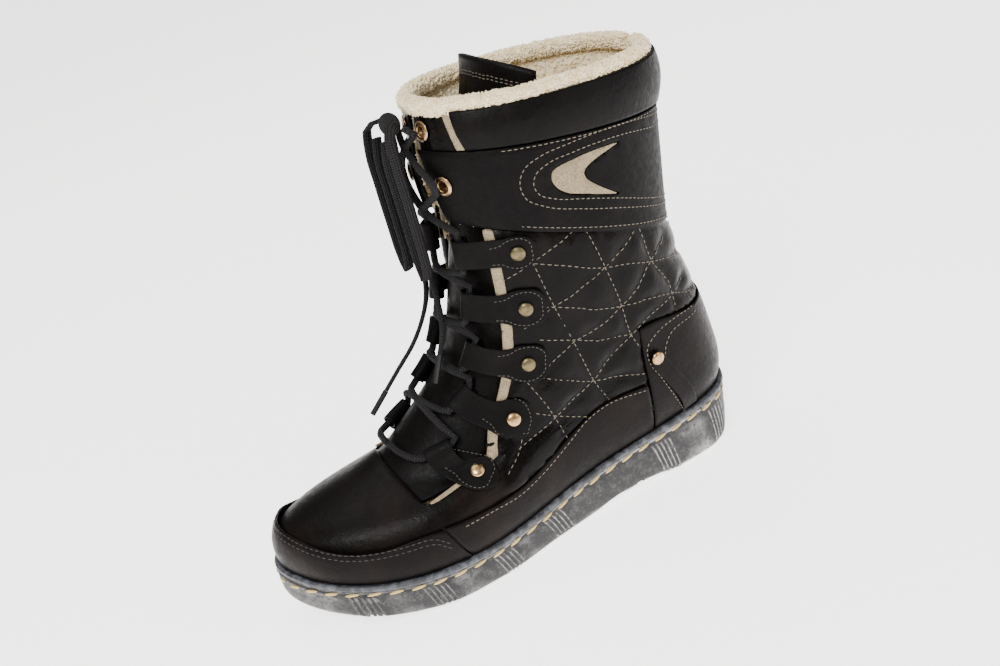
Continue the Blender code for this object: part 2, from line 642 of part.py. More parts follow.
def make_mudguards():
    height = np.linspace(0, 1, 5)[:, None]
    across = np.linspace(0, 1, 13)[None, :]
    joint = GAP / SOLE_LENGTH
    start = band_end(height) + joint
    stop = turn_at(COUNTER_FRONT * SOLE_LENGTH, WELT_TOP_ROW + 4.0 * height) - joint
    turns = start + (stop - start) * across
    rows = WELT_TOP_ROW + (row_at(turns, MUDGUARD_TOP) - WELT_TOP_ROW) * height
    for name, round_turns in (("mudguard_outer", turns), ("mudguard_inner", 1 - turns)):
        slab(name, round_turns, rows, OVERLAY_GAP, OVERLAY_GAP + OVERLAY_THICK, LEATHER)


def make_counter():
    height = np.linspace(0, 1, 8)[:, None]
    across = np.linspace(-1, 1, 29)[None, :]
    front = turn_at((COUNTER_FRONT - GAP / SOLE_LENGTH) * SOLE_LENGTH, WELT_TOP_ROW + 9.0 * height)
    turns = 0.5 + (0.5 - front) * across
    rows = WELT_TOP_ROW + (row_at(turns, COUNTER_TOP) - WELT_TOP_ROW) * height
    slab("heel_counter", turns, rows, OVERLAY_GAP, OVERLAY_GAP + OVERLAY_THICK, LEATHER)


def ribbon(path, half_widths, columns, first):
    """Turns and rows of a strap laid along a path on the last, as a grid."""
    path = np.asarray(path, float)
    tangent = np.gradient(path, axis=0)
    turn, row = settle(path, *first)
    normal = last_normal(turn, row)
    across = np.cross(tangent, normal)
    across /= np.linalg.norm(across, axis=1, keepdims=True)
    spread = np.linspace(-1, 1, columns)[None, :, None] * np.asarray(half_widths)[:, None, None]
    points = path[:, None, :] + across[:, None, :] * spread
    turns, rows = settle(points, turn[:, None] + np.zeros(columns), row[:, None] + np.zeros(columns))
    return turns, rows


def resampled(path, stations):
    """Points at measured distances along a polyline."""
    path = np.asarray(path, float)
    run = np.concatenate(([0.0], np.cumsum(np.linalg.norm(np.diff(path, axis=0), axis=1))))
    return np.stack([np.interp(stations, run, path[:, k]) for k in range(3)], 1), run[-1]


def make_counter_straps():
    """A strap on each side of the heel, from its rivet down to the welt."""
    radius = COUNTER_STRAP_WIDTH / 2
    low = OVERLAY_GAP + OVERLAY_THICK + GAP
    for name, side in (("counter_strap_outer", 1), ("counter_strap_inner", -1)):
        head = side_place(COUNTER_RIVET[0] * SOLE_LENGTH, COUNTER_RIVET[1] * BOOT_HEIGHT, side)
        foot = side_place(COUNTER_STRAP_FOOT[0] * SOLE_LENGTH, COUNTER_STRAP_FOOT[1] * BOOT_HEIGHT, side)
        share = np.linspace(-0.25, 1.0, 40)
        line = last_flat(head[0] + (foot[0] - head[0]) * share, head[1] + (foot[1] - head[1]) * share)
        _, length = resampled(line, [0.0])
        start = length * 0.2
        stations = np.concatenate((start + radius * np.array((-1.25, -1.1, -0.75, -0.3, 0.3)),
                                   np.linspace(start + radius, length, 7)))
        path, _ = resampled(line, stations)
        away = np.clip((start - radius * 0.25 - stations) / radius, 0.0, 1.0)
        widths = radius * np.sqrt(np.maximum(1 - away ** 2, 0.04))
        turns, rows = ribbon(path, widths, 5, head)
        slab(name, turns, rows, low, low + OVERLAY_THICK, LEATHER)


def turn_out(half_width, row):
    """Turn at which a row stands a given distance off the middle, near the front."""
    def inside(turn):
        return half_width - last_flat(turn, row)[..., 0]
    return solve(inside, np.zeros_like(np.asarray(row, float)), 0.25)


def prism(name, outline, side, inset):
    """A cutter: an outline in the side view pushed through one side of the shaft."""
    plan = np.asarray(outline) * (SOLE_LENGTH, BOOT_HEIGHT)
    edge = closed_curve(plan, steps=12)
    plan = inset_loop(closed_curve(plan, steps=3), -inset)
    clear = np.array([np.min(np.linalg.norm(edge - point, axis=1)) for point in plan])
    plan = plan[clear >= inset * 0.9]
    work = bmesh.new()
    near, far = side * BALL_WIDTH * 0.25, side * BALL_WIDTH * 0.7
    rim = [work.verts.new(world((near, length, up))) for length, up in plan]
    face = work.faces.new(rim)
    pushed = bmesh.ops.extrude_face_region(work, geom=[face])
    moved = [v for v in pushed["geom"] if isinstance(v, bmesh.types.BMVert)]
    bmesh.ops.translate(work, verts=moved, vec=Vector(((far - near) * MM, 0, 0)))
    bmesh.ops.recalc_face_normals(work, faces=work.faces)
    mesh = bpy.data.meshes.new(name)
    work.to_mesh(mesh)
    work.free()
    return add_object(name, mesh, None, smooth=False, collection=CUTTERS)


def cuff_grid():
    rows = np.array((CUFF_ROW + 0.02, 16.0, 17.0, COLLAR_ROW - 0.05))[:, None]
    edge = throat_turn(rows + 1e-6)
    share = round_share()[None, :]
    return edge + (1 - 2 * edge) * share, rows


def make_cuff():
    turns, rows = cuff_grid()
    high = OVERLAY_GAP + OVERLAY_THICK
    cuff = slab("cuff", turns, rows, OVERLAY_GAP, high, LEATHER)
    for name, side in (("suede_inlay_outer", 1), ("suede_inlay_inner", -1)):
        window = prism("window_" + name, INLAY_OUTLINE, side, 0.0)
        cut(cuff, window)
        inlay = slab(name, turns, rows, OVERLAY_GAP, high, SUEDE)
        cut(inlay, prism("outline_" + name, INLAY_OUTLINE, side, GAP * 1.5), "INTERSECT")
    return cuff


def make_collar():
    """The padded band round the top, with a strip of suede at each of its front ends."""
    share = np.linspace(0, 1, 6)[:, None]
    rows = COLLAR_ROW + 0.02 + (RIM_ROW - COLLAR_ROW - 0.02) * share
    half = (COLLAR_END[0] + (COLLAR_END[1] - COLLAR_END[0]) * share) * BALL_WIDTH
    edge = turn_out(half, rows)
    across = round_share()[None, :]
    high = OVERLAY_GAP + OVERLAY_THICK + COLLAR_PUFF * np.sin(np.pi * (0.08 + 0.84 * share)) ** 0.7
    slab("collar_band", edge + (1 - 2 * edge) * across, rows, OVERLAY_GAP, high, LEATHER)
    strip = np.linspace(-1, 0, 3)[None, :]
    for name, side in (("collar_edging_outer", 1), ("collar_edging_inner", -1)):
        turns = edge - arc_turn(edge, rows, GAP) + strip * arc_turn(edge, rows, EDGING_WIDTH)
        turns = turns if side > 0 else 1 - turns
        slab(name, turns, rows, OVERLAY_GAP, OVERLAY_GAP + EDGING_THICK * 2, SUEDE)


def arc_turn(turn, row, distance):
    """The turn that spans a distance round a row."""
    speed = np.linalg.norm(last_flat(turn + 1e-3, row) - last_flat(turn - 1e-3, row), axis=-1) / 2e-3
    return distance / speed


def make_edging():
    """The pale strip along the lower throat's edge."""
    corner_row, _ = throat_corner()
    rows = np.concatenate(([corner_row + 0.1], [r for r in HIGH_ROWS if r < CUFF_ROW - 0.1], [CUFF_ROW - 0.04]))
    rows = rows[:, None]
    edge = throat_turn(rows)
    turns = edge + arc_turn(edge, rows, GAP) + np.linspace(0, 1, 3)[None, :] * arc_turn(edge, rows, EDGING_WIDTH)
    for name, side in (("throat_edging_outer", 1), ("throat_edging_inner", -1)):
        slab(name, turns if side > 0 else 1 - turns, rows, EDGING_GAP, EDGING_GAP + EDGING_THICK, SUEDE)


def smooth_step(value):
    value = np.clip(value, 0.0, 1.0)
    return value * value * (3 - 2 * value)


def make_tongue():
    """The padded tongue, tucked under the vamp and fallen back at its top."""
    corner_row, corner_turn = throat_corner()
    share = np.linspace(0, 1, 17)[:, None]
    across = np.linspace(-1, 1, 11)[None, :]
    guess = corner_row - 1 + (TONGUE_TOP_ROW - corner_row + 1) * share
    half = (TONGUE_HALF[0] + (TONGUE_HALF[1] - TONGUE_HALF[0]) * share) * BALL_WIDTH
    turns = turn_out(half, guess) * across
    base = vamp_row(np.clip(np.abs(turns), 0, corner_turn)) - 1.0
    rows = base + (TONGUE_TOP_ROW - TONGUE_DROOP * across ** 2 - base) * share
    grid = last(turns, rows, -(WALL + 2.5 * GAP))
    start, stop = CUFF_ROW / RIM_ROW * 0.79, 1.06
    grid[..., 1] -= TONGUE_LEAN * smooth_step((grid[..., 2] / BOOT_HEIGHT - start) / (stop - start))
    tongue = shell("tongue", grid, TONGUE_THICK, LEATHER, outward=False)
    return tongue


def tab_frame(tab, side):
    """The path of a lace tab from behind its rivet to its loop, with the grid's first guess."""
    length, height, half, up, _ = tab
    turn, row = side_place(length * SOLE_LENGTH, height * BOOT_HEIGHT, 1)
    low, high = row - 3.0, row + 3.0

    def below(try_row):
        return up * BOOT_HEIGHT - last_flat(turn_out(half * BALL_WIDTH, try_row), try_row)[..., 2]
    eye_row = float(solve(below, low, np.array(high)))
    eye_turn = float(turn_out(half * BALL_WIDTH, np.array(eye_row)))
    share = np.linspace(-0.8, 1.0, 90)
    turns, rows = turn + (eye_turn - turn) * share, row + (eye_row - row) * share
    line = last_flat(turns, rows)
    run = np.concatenate(([0.0], np.cumsum(np.linalg.norm(np.diff(line, axis=0), axis=1))))
    behind = float(np.interp(0.0, share, run))
    if side < 0:
        line = line * (-1, 1, 1)
        turn = 1 - turn
        line_turns, line_rows = settle(line, 1 - turns, rows)
        line = last_flat(line_turns, line_rows)
    return line, behind, float(run[-1]), (turn, row)


def make_tab(name, tab, side):
    """A square leather tab whose strap runs to the throat and folds round the lace."""
    line, behind, length, first = tab_frame(tab, side)
    half, corner, strap = TAB_SIZE * tab[4] / 2, TAB_CORNER, STRAP_WIDTH / 2
    near = np.array((-1.0, -0.92, -0.7, -0.4, 0.0, 0.42, 0.78)) * half
    stations = np.concatenate((near, np.linspace(half * 1.15, length - behind, 4)))
    beyond = np.clip(np.abs(stations) - (half - corner), 0, corner)
    widths = half - corner + np.sqrt(corner ** 2 - beyond ** 2)
    widths = np.where(stations > 0, np.maximum(widths, strap), widths)
    path, _ = resampled(line, stations + behind)
    turns, rows = ribbon(path, widths, 5, first)
    bore = LOOP_BORE / 2
    rise = smooth_step((stations - half * 0.78) / (length - behind - half * 0.78))
    low = (TAB_LIFT + (LOOP_LIFT + bore - TAB_LIFT) * rise)[:, None]
    under, over = last(turns, rows, low), last(turns, rows, low + LOOP_WALL)
    end = last(turns[-1], rows[-1], LOOP_LIFT)
    ahead = last(turns[-1], rows[-1]) - last(turns[-2], rows[-2])
    ahead /= np.linalg.norm(ahead, axis=1, keepdims=True)
    normal = last_normal(turns[-1], rows[-1])
    for degrees in range(50, -226, -45):
        angle = math.radians(degrees)
        way = ahead * math.cos(angle) + normal * math.sin(angle)
        under = np.concatenate((under, (end + way * bore)[None]))
        over = np.concatenate((over, (end + way * (bore + LOOP_WALL))[None]))
    sheet_solid(name, under, over, LEATHER)
    middle = len(end) // 2
    axis = end[-1] - end[0]
    return end[middle], axis / np.linalg.norm(axis), first


def turned(name, profile, centre, normal, finish, steps=12, cap=False):
    """A turned piece from a closed half profile of (radius, height), stood on a place along a direction."""
    mesh = bpy.data.meshes.new(name)
    vertices = [(radius * MM, 0.0, height * MM) for radius, height in profile]
    edges = [(k, k + 1) for k in range(len(profile) - 1)]
    if not cap:
        edges.append((len(profile) - 1, 0))
    mesh.from_pydata(vertices, edges, [])
    made = add_object(name, mesh, finish, smooth=False)
    spin = made.modifiers.new("turn", "SCREW")
    spin.steps = steps
    spin.render_steps = steps
    spin.use_merge_vertices = True
    spin.merge_threshold = 1e-6
    spin.use_smooth_shade = True
    toward = Vector((normal[0], -normal[1], normal[2])).normalized()
    made.rotation_euler = toward.to_track_quat("Z", "Y").to_euler()
    made.location = world(centre)
    return made


def dome_profile(width, rise):
    """A cap's half profile from its crown down its side to the middle of its flat back."""
    radius = width / 2
    rim = rise * 0.3
    points = [(radius * math.sin(a), rim + (rise - rim) * math.cos(a)) for a in np.linspace(0, math.pi / 2, 4)]
    points[0] = (0.0, rise)
    return points + [(radius * 0.97, 0.0), (0.0, 0.0)]


def make_rivet(name, turn, row, lift, rise):
    """A cap standing flat just clear of what it holds."""
    centre, normal = last(np.array(turn), np.array(row), lift), last_normal(turn, row)
    way = np.linspace(0, 2 * math.pi, 9)
    spread = RIVET_WIDTH / 2
    beside = turn + arc_turn(turn, row, spread) * np.cos(way)
    above = row + spread / np.linalg.norm(last_flat(turn, row + 0.5) - last_flat(turn, row - 0.5)) * np.sin(way)
    stand = max(0.0, float(np.max((last(beside, above, lift) - centre) @ normal)))
    centre = centre + normal * (stand + GAP)
    turned(name, dome_profile(RIVET_WIDTH, rise), centre, normal, BRASS, cap=True)


def make_eyelet(name, turn, row, lift, upper, cuff):
    """A flanged ring in a punched hole."""
    outer, bore, barrel = EYELET_WIDTH / 2, EYELET_BORE / 2, EYELET_BARREL
    centre, normal = last(np.array(turn), np.array(row), lift), last_normal(turn, row)
    deep = -(lift + WALL)
    profile = ((bore, EYELET_RISE * 0.6), (bore + 0.9, EYELET_RISE), (outer - 0.9, EYELET_RISE * 0.85), (outer, 0.3),
               (outer - 0.4, 0.0), (bore + barrel, 0.0), (bore + barrel, deep), (bore, deep))
    turned(name, profile, centre, normal, BRASS)
    work = bmesh.new()
    toward = Vector((normal[0], -normal[1], normal[2])).normalized()
    place = Matrix.Translation(world(centre)) @ toward.to_track_quat("Z", "Y").to_matrix().to_4x4()
    radius = (bore + barrel + GAP) * MM
    bmesh.ops.create_cone(work, cap_ends=True, segments=12, radius1=radius, radius2=radius,
                          depth=WALL * 8 * MM, matrix=place)
    mesh = bpy.data.meshes.new("hole_" + name)
    work.to_mesh(mesh)
    work.free()
    hole = add_object("hole_" + name, mesh, None, smooth=False, collection=CUTTERS)
    cut(upper, hole)
    if lift > EYELET_RISE:
        cut(cuff, hole)
    return last(np.array(turn), np.array(row), lift + EYELET_RISE + CROSSING_THICK / 2 + 4 * GAP)


def smooth_route(points, spacing):
    """A smooth open curve through hand-set points, read at even steps."""
    points = np.asarray(points, float)
    place = np.concatenate(([0.0], np.cumsum(np.linalg.norm(np.diff(points, axis=0), axis=1))))
    fine = along(np.column_stack((place, points)), np.linspace(0, place[-1], 400))
    run = np.concatenate(([0.0], np.cumsum(np.linalg.norm(np.diff(fine, axis=0), axis=1))))
    steps = max(2, int(round(run[-1] / spacing)))
    return resampled(fine, np.linspace(0, run[-1], steps + 1))[0]


def tube(name, points, thick, finish):
    """A round cord along a route, as a closed mesh."""
    curve = bpy.data.curves.new(name, "CURVE")
    curve.dimensions = "3D"
    curve.bevel_depth = thick / 2 * MM
    curve.bevel_resolution = 1
    curve.use_fill_caps = True
    spline = curve.splines.new("POLY")
    spline.points.add(len(points) - 1)
    for point, place in zip(spline.points, world(points)):
        point.co = (*place, 1.0)
    rope = bpy.data.objects.new(name, curve)
    BOOT.objects.link(rope)
    bpy.context.view_layer.update()
    mesh = bpy.data.meshes.new_from_object(rope.evaluated_get(bpy.context.evaluated_depsgraph_get()))
    bpy.data.objects.remove(rope, do_unlink=True)
    bpy.data.curves.remove(curve)
    work = bmesh.new()
    work.from_mesh(mesh)
    bmesh.ops.remove_doubles(work, verts=work.verts, dist=1e-6)
    work.to_mesh(mesh)
    work.free()
    return add_object(name, mesh, finish)


def carried(start, stop, lift, row):
    """Points that take a lace from one place to another at a height over the last."""
    points = []
    for share in (0.25, 0.5, 0.75):
        place = start + (stop - start) * share
        turn, level = settle(place, 0.0, row)
        points.append(last(turn, level, lift))
    return points


def make_lace(loops, eyelets):
    """The lace crossing the tongue from loop to loop, then its knot, bow and ends."""
    routes = []
    for side in (1, -1):
        route = []
        here = side
        for level in range(len(TABS) - 1, -1, -1):
            centre, axis, _ = loops[(level, here)]
            axis = axis if axis[2] > 0 else -axis
            reach = STRAP_WIDTH / 2 + CROSSING_THICK * 0.8
            if not route:
                foot = centre - axis * reach
                foot = foot - axis * CROSSING_THICK
                route = carried(foot * (-1, 1, 1), foot, CROSSING_THICK / 2 + 0.8, 6.5)[1:]
            route += [centre - axis * reach, centre, centre + axis * reach]
            here = -here
            if level > 0:
                after, ahead, _ = loops[(level - 1, here)]
                ahead = ahead if ahead[2] > 0 else -ahead
                route += carried(centre + axis * reach, after - ahead * reach, CROSSING_THICK / 2 + 0.8, 10.0)
        upper_eye, lower_eye = eyelets[(0, -here)], eyelets[(1, here)]
        over_cuff = OVERLAY_GAP + OVERLAY_THICK + CROSSING_THICK / 2 + 5 * GAP
        for start, stop in ((route[-1], lower_eye), (lower_eye, upper_eye)):
            route += carried(start, stop, over_cuff, 15.5) + [stop]
        knot = np.array(KNOT_PLACE)
        route.append(knot + (-here * KNOT_SIZE[0] / 2, -3.0, -1.5))
        routes.append(smooth_route(route, CROSSING_THICK * 2.0))
    first = tube("lace_crossings", routes[0], CROSSING_THICK, WOVEN)
    second = tube("lace_second_run", routes[1], CROSSING_THICK, WOVEN)
    BOOT.objects.unlink(second)
    CUTTERS.objects.link(second)
    cut(first, second, "UNION")


def make_bow():
    work = bmesh.new()
    place = Matrix.Translation(world(KNOT_PLACE)) @ Matrix.Diagonal((*[s / 2 for s in KNOT_SIZE], 1.0))
    bmesh.ops.create_uvsphere(work, u_segments=12, v_segments=8, radius=MM, matrix=place)
    mesh = bpy.data.meshes.new("lace_knot")
    work.to_mesh(mesh)
    work.free()
    add_object("lace_knot", mesh, WOVEN)
    for name, route in (("bow_loop_outer", np.array(BOW_LOOP)), ("bow_loop_inner", np.array(BOW_LOOP) * (-1, 1, 1))):
        tube(name, smooth_route(route, LACE_THICK * 2.0), LACE_THICK, WOVEN)
    for end, route in (("long", LONG_END), ("short", SHORT_END)):
        points = smooth_route(route, LACE_THICK * 2.4)
        tube("lace_end_" + end, points, LACE_THICK, WOVEN)
        way = points[-1] - points[-2]
        way /= np.linalg.norm(way)
        start = points[-1] + way * GAP
        tube("aglet_" + end, np.array((start, start + way * AGLET_LENGTH)), AGLET_THICK, TIP)


def make_boot():
    make_outsole()
    make_welt()
    make_insole()
    upper = make_upper()
    make_toe_band()
    make_mudguards()
    make_counter()
    make_counter_straps()
    cuff = make_cuff()
    make_collar()
    make_edging()
    make_tongue()
    loops, eyelets = {}, {}
    for side, side_name in ((1, "outer"), (-1, "inner")):
        for level, tab in enumerate(TABS):
            label = f"{side_name}_{level + 1}"
            loops[(level, side)] = make_tab("lace_tab_" + label, tab, side)
            make_rivet("rivet_" + label, *loops[(level, side)][2], TAB_LIFT + LOOP_WALL, RIVET_RISE)
        heel = side_place(COUNTER_RIVET[0] * SOLE_LENGTH, COUNTER_RIVET[1] * BOOT_HEIGHT, side)
        strap_top = OVERLAY_GAP + OVERLAY_THICK * 2 + GAP
        make_rivet("counter_rivet_" + side_name, *heel, strap_top, RIVET_RISE)
        for level, (row, half) in enumerate(EYELETS):
            turn = float(turn_out(half * BALL_WIDTH, np.array(row)))
            turn = turn if side > 0 else 1 - turn
            lift = GAP if row > COLLAR_ROW else OVERLAY_GAP + OVERLAY_THICK + GAP
            eyelets[(level, side)] = make_eyelet(f"eyelet_{side_name}_{level + 1}", turn, row, lift, upper, cuff)
    make_lace(loops, eyelets)
    make_bow()


make_boot()
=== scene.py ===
# %% [markdown]
# A laced winter boot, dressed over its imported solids
#
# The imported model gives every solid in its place. This script sets the camera where the photograph was
# taken from, lays the lace's bow, and then gives the boot its leather, stitches, quilting, fleece, worn
# rubber and brass. Lengths are in millimetres and are turned into metres where Blender needs them.

# %% Setup
import math

import bmesh
import bpy
import numpy as np
from mathutils import Matrix, Vector
from mathutils.bvhtree import BVHTree


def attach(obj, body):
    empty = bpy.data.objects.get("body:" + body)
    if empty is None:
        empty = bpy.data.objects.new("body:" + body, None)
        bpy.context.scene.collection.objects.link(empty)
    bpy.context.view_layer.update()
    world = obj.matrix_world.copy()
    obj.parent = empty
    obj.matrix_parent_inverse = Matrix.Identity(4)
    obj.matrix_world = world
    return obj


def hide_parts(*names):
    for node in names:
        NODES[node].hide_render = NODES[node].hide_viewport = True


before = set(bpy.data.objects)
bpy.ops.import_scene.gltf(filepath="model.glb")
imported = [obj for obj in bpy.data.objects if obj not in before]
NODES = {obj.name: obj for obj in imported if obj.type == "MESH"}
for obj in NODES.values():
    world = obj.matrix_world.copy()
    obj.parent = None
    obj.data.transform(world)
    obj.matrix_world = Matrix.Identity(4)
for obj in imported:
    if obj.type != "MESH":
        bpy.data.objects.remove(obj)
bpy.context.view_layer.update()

MM = 0.001
SOLE_LENGTH = 285.0
HEEL_CENTRE = 33.0
print("Loaded", len(NODES), "solids")


def place(points):
    """Points given as (out, along_foot, up) in millimetres, in the frame's metres."""
    points = np.atleast_2d(np.asarray(points, float))
    return np.column_stack((points[:, 0], HEEL_CENTRE - points[:, 1], points[:, 2])) * MM


def unplace(points):
    """The reverse of place."""
    points = np.atleast_2d(np.asarray(points, float)) / MM
    return np.column_stack((points[:, 0], HEEL_CENTRE - points[:, 1], points[:, 2]))


# %% [markdown]
# The camera stands to the front of the outer side, well above the boot, and is rolled as in the photograph.

# %% Camera
CAMERA_AZIMUTH = 69.62
CAMERA_ELEVATION = 25.79
CAMERA_ROLL = -15.56
CAMERA_DISTANCE = 644.72
CAMERA_TARGET = (0.0, 130.0, 110.0)
CAMERA_LENS = 42.70
CAMERA_SHIFT = (0.00295, 0.00299)

azimuth, elevation, roll = (math.radians(a) for a in (CAMERA_AZIMUTH, CAMERA_ELEVATION, CAMERA_ROLL))
toward = Vector((math.sin(azimuth) * math.cos(elevation), -math.cos(azimuth) * math.cos(elevation),
                 math.sin(elevation)))
level = Vector((math.cos(azimuth), math.sin(azimuth), 0.0))
upward = toward.cross(level)
right = level * math.cos(roll) + upward * math.sin(roll)
above = upward * math.cos(roll) - level * math.sin(roll)
camera_data = bpy.data.cameras.new("camera")
camera_data.lens = CAMERA_LENS
camera_data.shift_x, camera_data.shift_y = CAMERA_SHIFT
camera_data.clip_start = 0.01
camera = bpy.data.objects.new("camera", camera_data)
bpy.context.scene.collection.objects.link(camera)
turn = Matrix((right, above, toward)).transposed().to_4x4()
eye = Vector(place(CAMERA_TARGET)[0]) + toward * CAMERA_DISTANCE * MM
camera.matrix_world = Matrix.Translation(eye) @ turn
bpy.context.scene.camera = camera
print("Camera at", [round(value, 3) for value in eye])

# %% [markdown]
# The lace's bow hangs from the knot at the top of the throat. Its two loops and two ends follow the same
# routes as the solids do: out, along_foot, up, in millimetres.

# %% Cords
LACE_WIDTH = 6.4
LACE_THICK = 2.4
AGLET_LENGTH = 15.0
BOW_LOOP = (
    (8.9, 155.6, 241.6), (13.6, 160.5, 240.0), (17.5, 162.8, 228.0), (18.5, 163.0, 208.0), (18.2, 163.0, 186.0),
    (16.6, 163.0, 168.0), (12.6, 163.0, 161.5), (8.4, 163.0, 168.0), (7.0, 163.0, 186.0), (6.6, 163.0, 208.0),
    (6.2, 163.0, 224.0), (5.8, 161.0, 234.9))
LONG_END = (
    (-2.6, 155.6, 234.7), (-3.5, 156.8, 222.0), (-3.6, 157.0, 205.0), (-3.8, 157.0, 185.0), (-4.4, 157.5, 165.0),
    (-6.5, 159.5, 147.0), (-11.0, 165.0, 131.5), (-13.0, 173.5, 119.5), (-14.0, 184.0, 110.0),
    (-14.0, 194.5, 101.0))
SHORT_END = (
    (2.6, 155.6, 234.7), (3.5, 156.8, 222.0), (3.6, 157.0, 205.0), (3.8, 157.0, 185.0), (4.4, 157.5, 165.0),
    (6.5, 159.0, 148.0), (12.0, 162.5, 133.0), (14.0, 168.5, 121.5))


def smooth_route(points, count):
    """A smooth open curve through given points, read at even steps."""
    points = np.asarray(points, float)
    run = np.concatenate(([0.0], np.cumsum(np.linalg.norm(np.diff(points, axis=0), axis=1))))
    slope = np.gradient(points, run, axis=0)
    fine = []
    for k in range(len(points) - 1):
        t = np.linspace(0, 1, 24, endpoint=k == len(points) - 2)[:, None]
        width = run[k + 1] - run[k]
        fine.append(points[k] * (1 + 2 * t) * (1 - t) ** 2 + slope[k] * width * t * (1 - t) ** 2
                    + points[k + 1] * t * t * (3 - 2 * t) - slope[k + 1] * width * t * t * (1 - t))
    fine = np.concatenate(fine)
    run = np.concatenate(([0.0], np.cumsum(np.linalg.norm(np.diff(fine, axis=0), axis=1))))
    at = np.linspace(0, run[-1], count)
    return np.stack([np.interp(at, run, fine[:, k]) for k in range(3)], 1), run[-1]


def link(name, mesh, smooth=True):
    """A new object at the origin for a finished mesh."""
    made = bpy.data.objects.new(name, mesh)
    bpy.context.scene.collection.objects.link(made)
    if smooth:
        mesh.shade_smooth()
    return made


def band(name, path, width, thick, across, sides=12):
    """A flat cord with rounded edges along a path in metres, with its length and girth in UV millimetres."""
    path = np.asarray(path, float)
    ahead = np.gradient(path, axis=0)
    ahead /= np.linalg.norm(ahead, axis=1, keepdims=True)
    across = np.broadcast_to(np.asarray(across, float), path.shape)
    across = across - ahead * np.sum(across * ahead, axis=1, keepdims=True)
    across = across / np.linalg.norm(across, axis=1, keepdims=True)
    facing = np.cross(ahead, across)
    way = 2 * math.pi * np.arange(sides) / sides
    flat = np.sign(np.cos(way)) * np.abs(np.cos(way)) ** 0.75
    ring = (across[:, None] * (flat * width / 2)[None, :, None]
            + facing[:, None] * (np.sin(way) * thick / 2)[None, :, None]) * MM
    points = (path[:, None] + ring).reshape(-1, 3)
    run = np.concatenate(([0.0], np.cumsum(np.linalg.norm(np.diff(path, axis=0), axis=1)))) / MM
    faces, places = [], []
    for j in range(len(path) - 1):
        for k in range(sides):
            after = (k + 1) % sides
            faces.append((j * sides + k, j * sides + after, (j + 1) * sides + after, (j + 1) * sides + k))
            places += [(k, run[j]), (k + 1, run[j]), (k + 1, run[j + 1]), (k, run[j + 1])]
    last = (len(path) - 1) * sides
    for cap in (tuple(range(sides))[::-1], tuple(last + k for k in range(sides))):
        faces.append(cap)
        places += [(0.0, 0.0)] * sides
    mesh = bpy.data.meshes.new(name)
    mesh.from_pydata([tuple(p) for p in points], [], faces)
    layer = mesh.uv_layers.new(name="cord")
    layer.data.foreach_set("uv", np.array([(k * 1.0, r) for k, r in places]).ravel())
    return link(name, mesh)


cords = []
mirrored = np.array(BOW_LOOP) * (-1, 1, 1)
for name, node, route, across, extra in (
        ("lace_bow_outer", "bow_loop_outer", BOW_LOOP, (0.45, -0.9, 0.0), None),
        ("lace_bow_inner", "bow_loop_inner", mirrored, (0.45, -0.9, 0.0), None),
        ("lace_long", "lace_end_long", LONG_END, (0.8, -0.6, 0.0), "aglet_long"),
        ("lace_short", "lace_end_short", SHORT_END, (0.8, -0.6, 0.0), "aglet_short")):
    line, length = smooth_route(route, 32)
    path = place(line)
    piece = band(name, path, LACE_WIDTH, LACE_THICK, across)
    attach(piece, "root")
    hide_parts(node)
    cords.append(piece)
    print(name, round(length), "mm")

# %% [markdown]
# A small class lets shader maths be written as sums and products. Each operator adds the node that does it.

# %% Shader maths
class Wire:
    """An output in a node tree that works like a number, a vector or a colour."""

    def __init__(self, tree, socket):
        self.tree = tree
        self.socket = socket

    def node(self, kind, settings=None, **inputs):
        return add_node(self.tree, kind, settings, **inputs)

    def maths(self, operation, *rest, swap=False):
        terms = (*rest, self) if swap else (self, *rest)
        wide = any(isinstance(t, Wire) and t.socket.type in ("VECTOR", "RGBA") for t in terms)
        made = self.tree.nodes.new("ShaderNodeVectorMath" if wide else "ShaderNodeMath")
        made.operation = operation
        for socket, term in zip(made.inputs, terms):
            feed(self.tree, socket, term)
        return Wire(self.tree, made.outputs[0])

    def __add__(self, other):
        return self.maths("ADD", other)

    def __radd__(self, other):
        return self.maths("ADD", other, swap=True)

    def __sub__(self, other):
        return self.maths("SUBTRACT", other)

    def __rsub__(self, other):
        return self.maths("SUBTRACT", other, swap=True)

    def __mul__(self, other):
        return self.maths("MULTIPLY", other)

    def __rmul__(self, other):
        return self.maths("MULTIPLY", other, swap=True)

    def __truediv__(self, other):
        return self.maths("DIVIDE", other)

    def __rtruediv__(self, other):
        return self.maths("DIVIDE", other, swap=True)

    def __pow__(self, other):
        return self.maths("POWER", other)

    def ramp(self, low, high, bottom=0.0, top=1.0):
        """This value's smooth passage from low to high, as bottom to top."""
        return self.node("ShaderNodeMapRange", {"interpolation_type": "SMOOTHSTEP"}, **{
            "Value": self, "From Min": low, "From Max": high, "To Min": bottom, "To Max": top})

    def blend(self, first, second):
        """A colour between two, by this value."""
        made = self.tree.nodes.new("ShaderNodeMix")
        made.data_type = "RGBA"
        feed(self.tree, made.inputs[0], self)
        feed(self.tree, made.inputs[6], first)
        feed(self.tree, made.inputs[7], second)
        return Wire(self.tree, made.outputs[2])

    def part(self, axis):
        made = self.tree.nodes.new("ShaderNodeSeparateXYZ")
        feed(self.tree, made.inputs[0], self)
        return Wire(self.tree, made.outputs[axis])


def feed(tree, socket, term):
    """Link a wire to a socket, or set the socket's own value."""
    if isinstance(term, Wire):
        tree.links.new(term.socket, socket)
    elif hasattr(socket.default_value, "__len__"):
        wide = len(socket.default_value)
        term = term if hasattr(term, "__len__") else (term,) * wide
        socket.default_value = (*term, 1.0)[:wide]
    else:
        socket.default_value = term


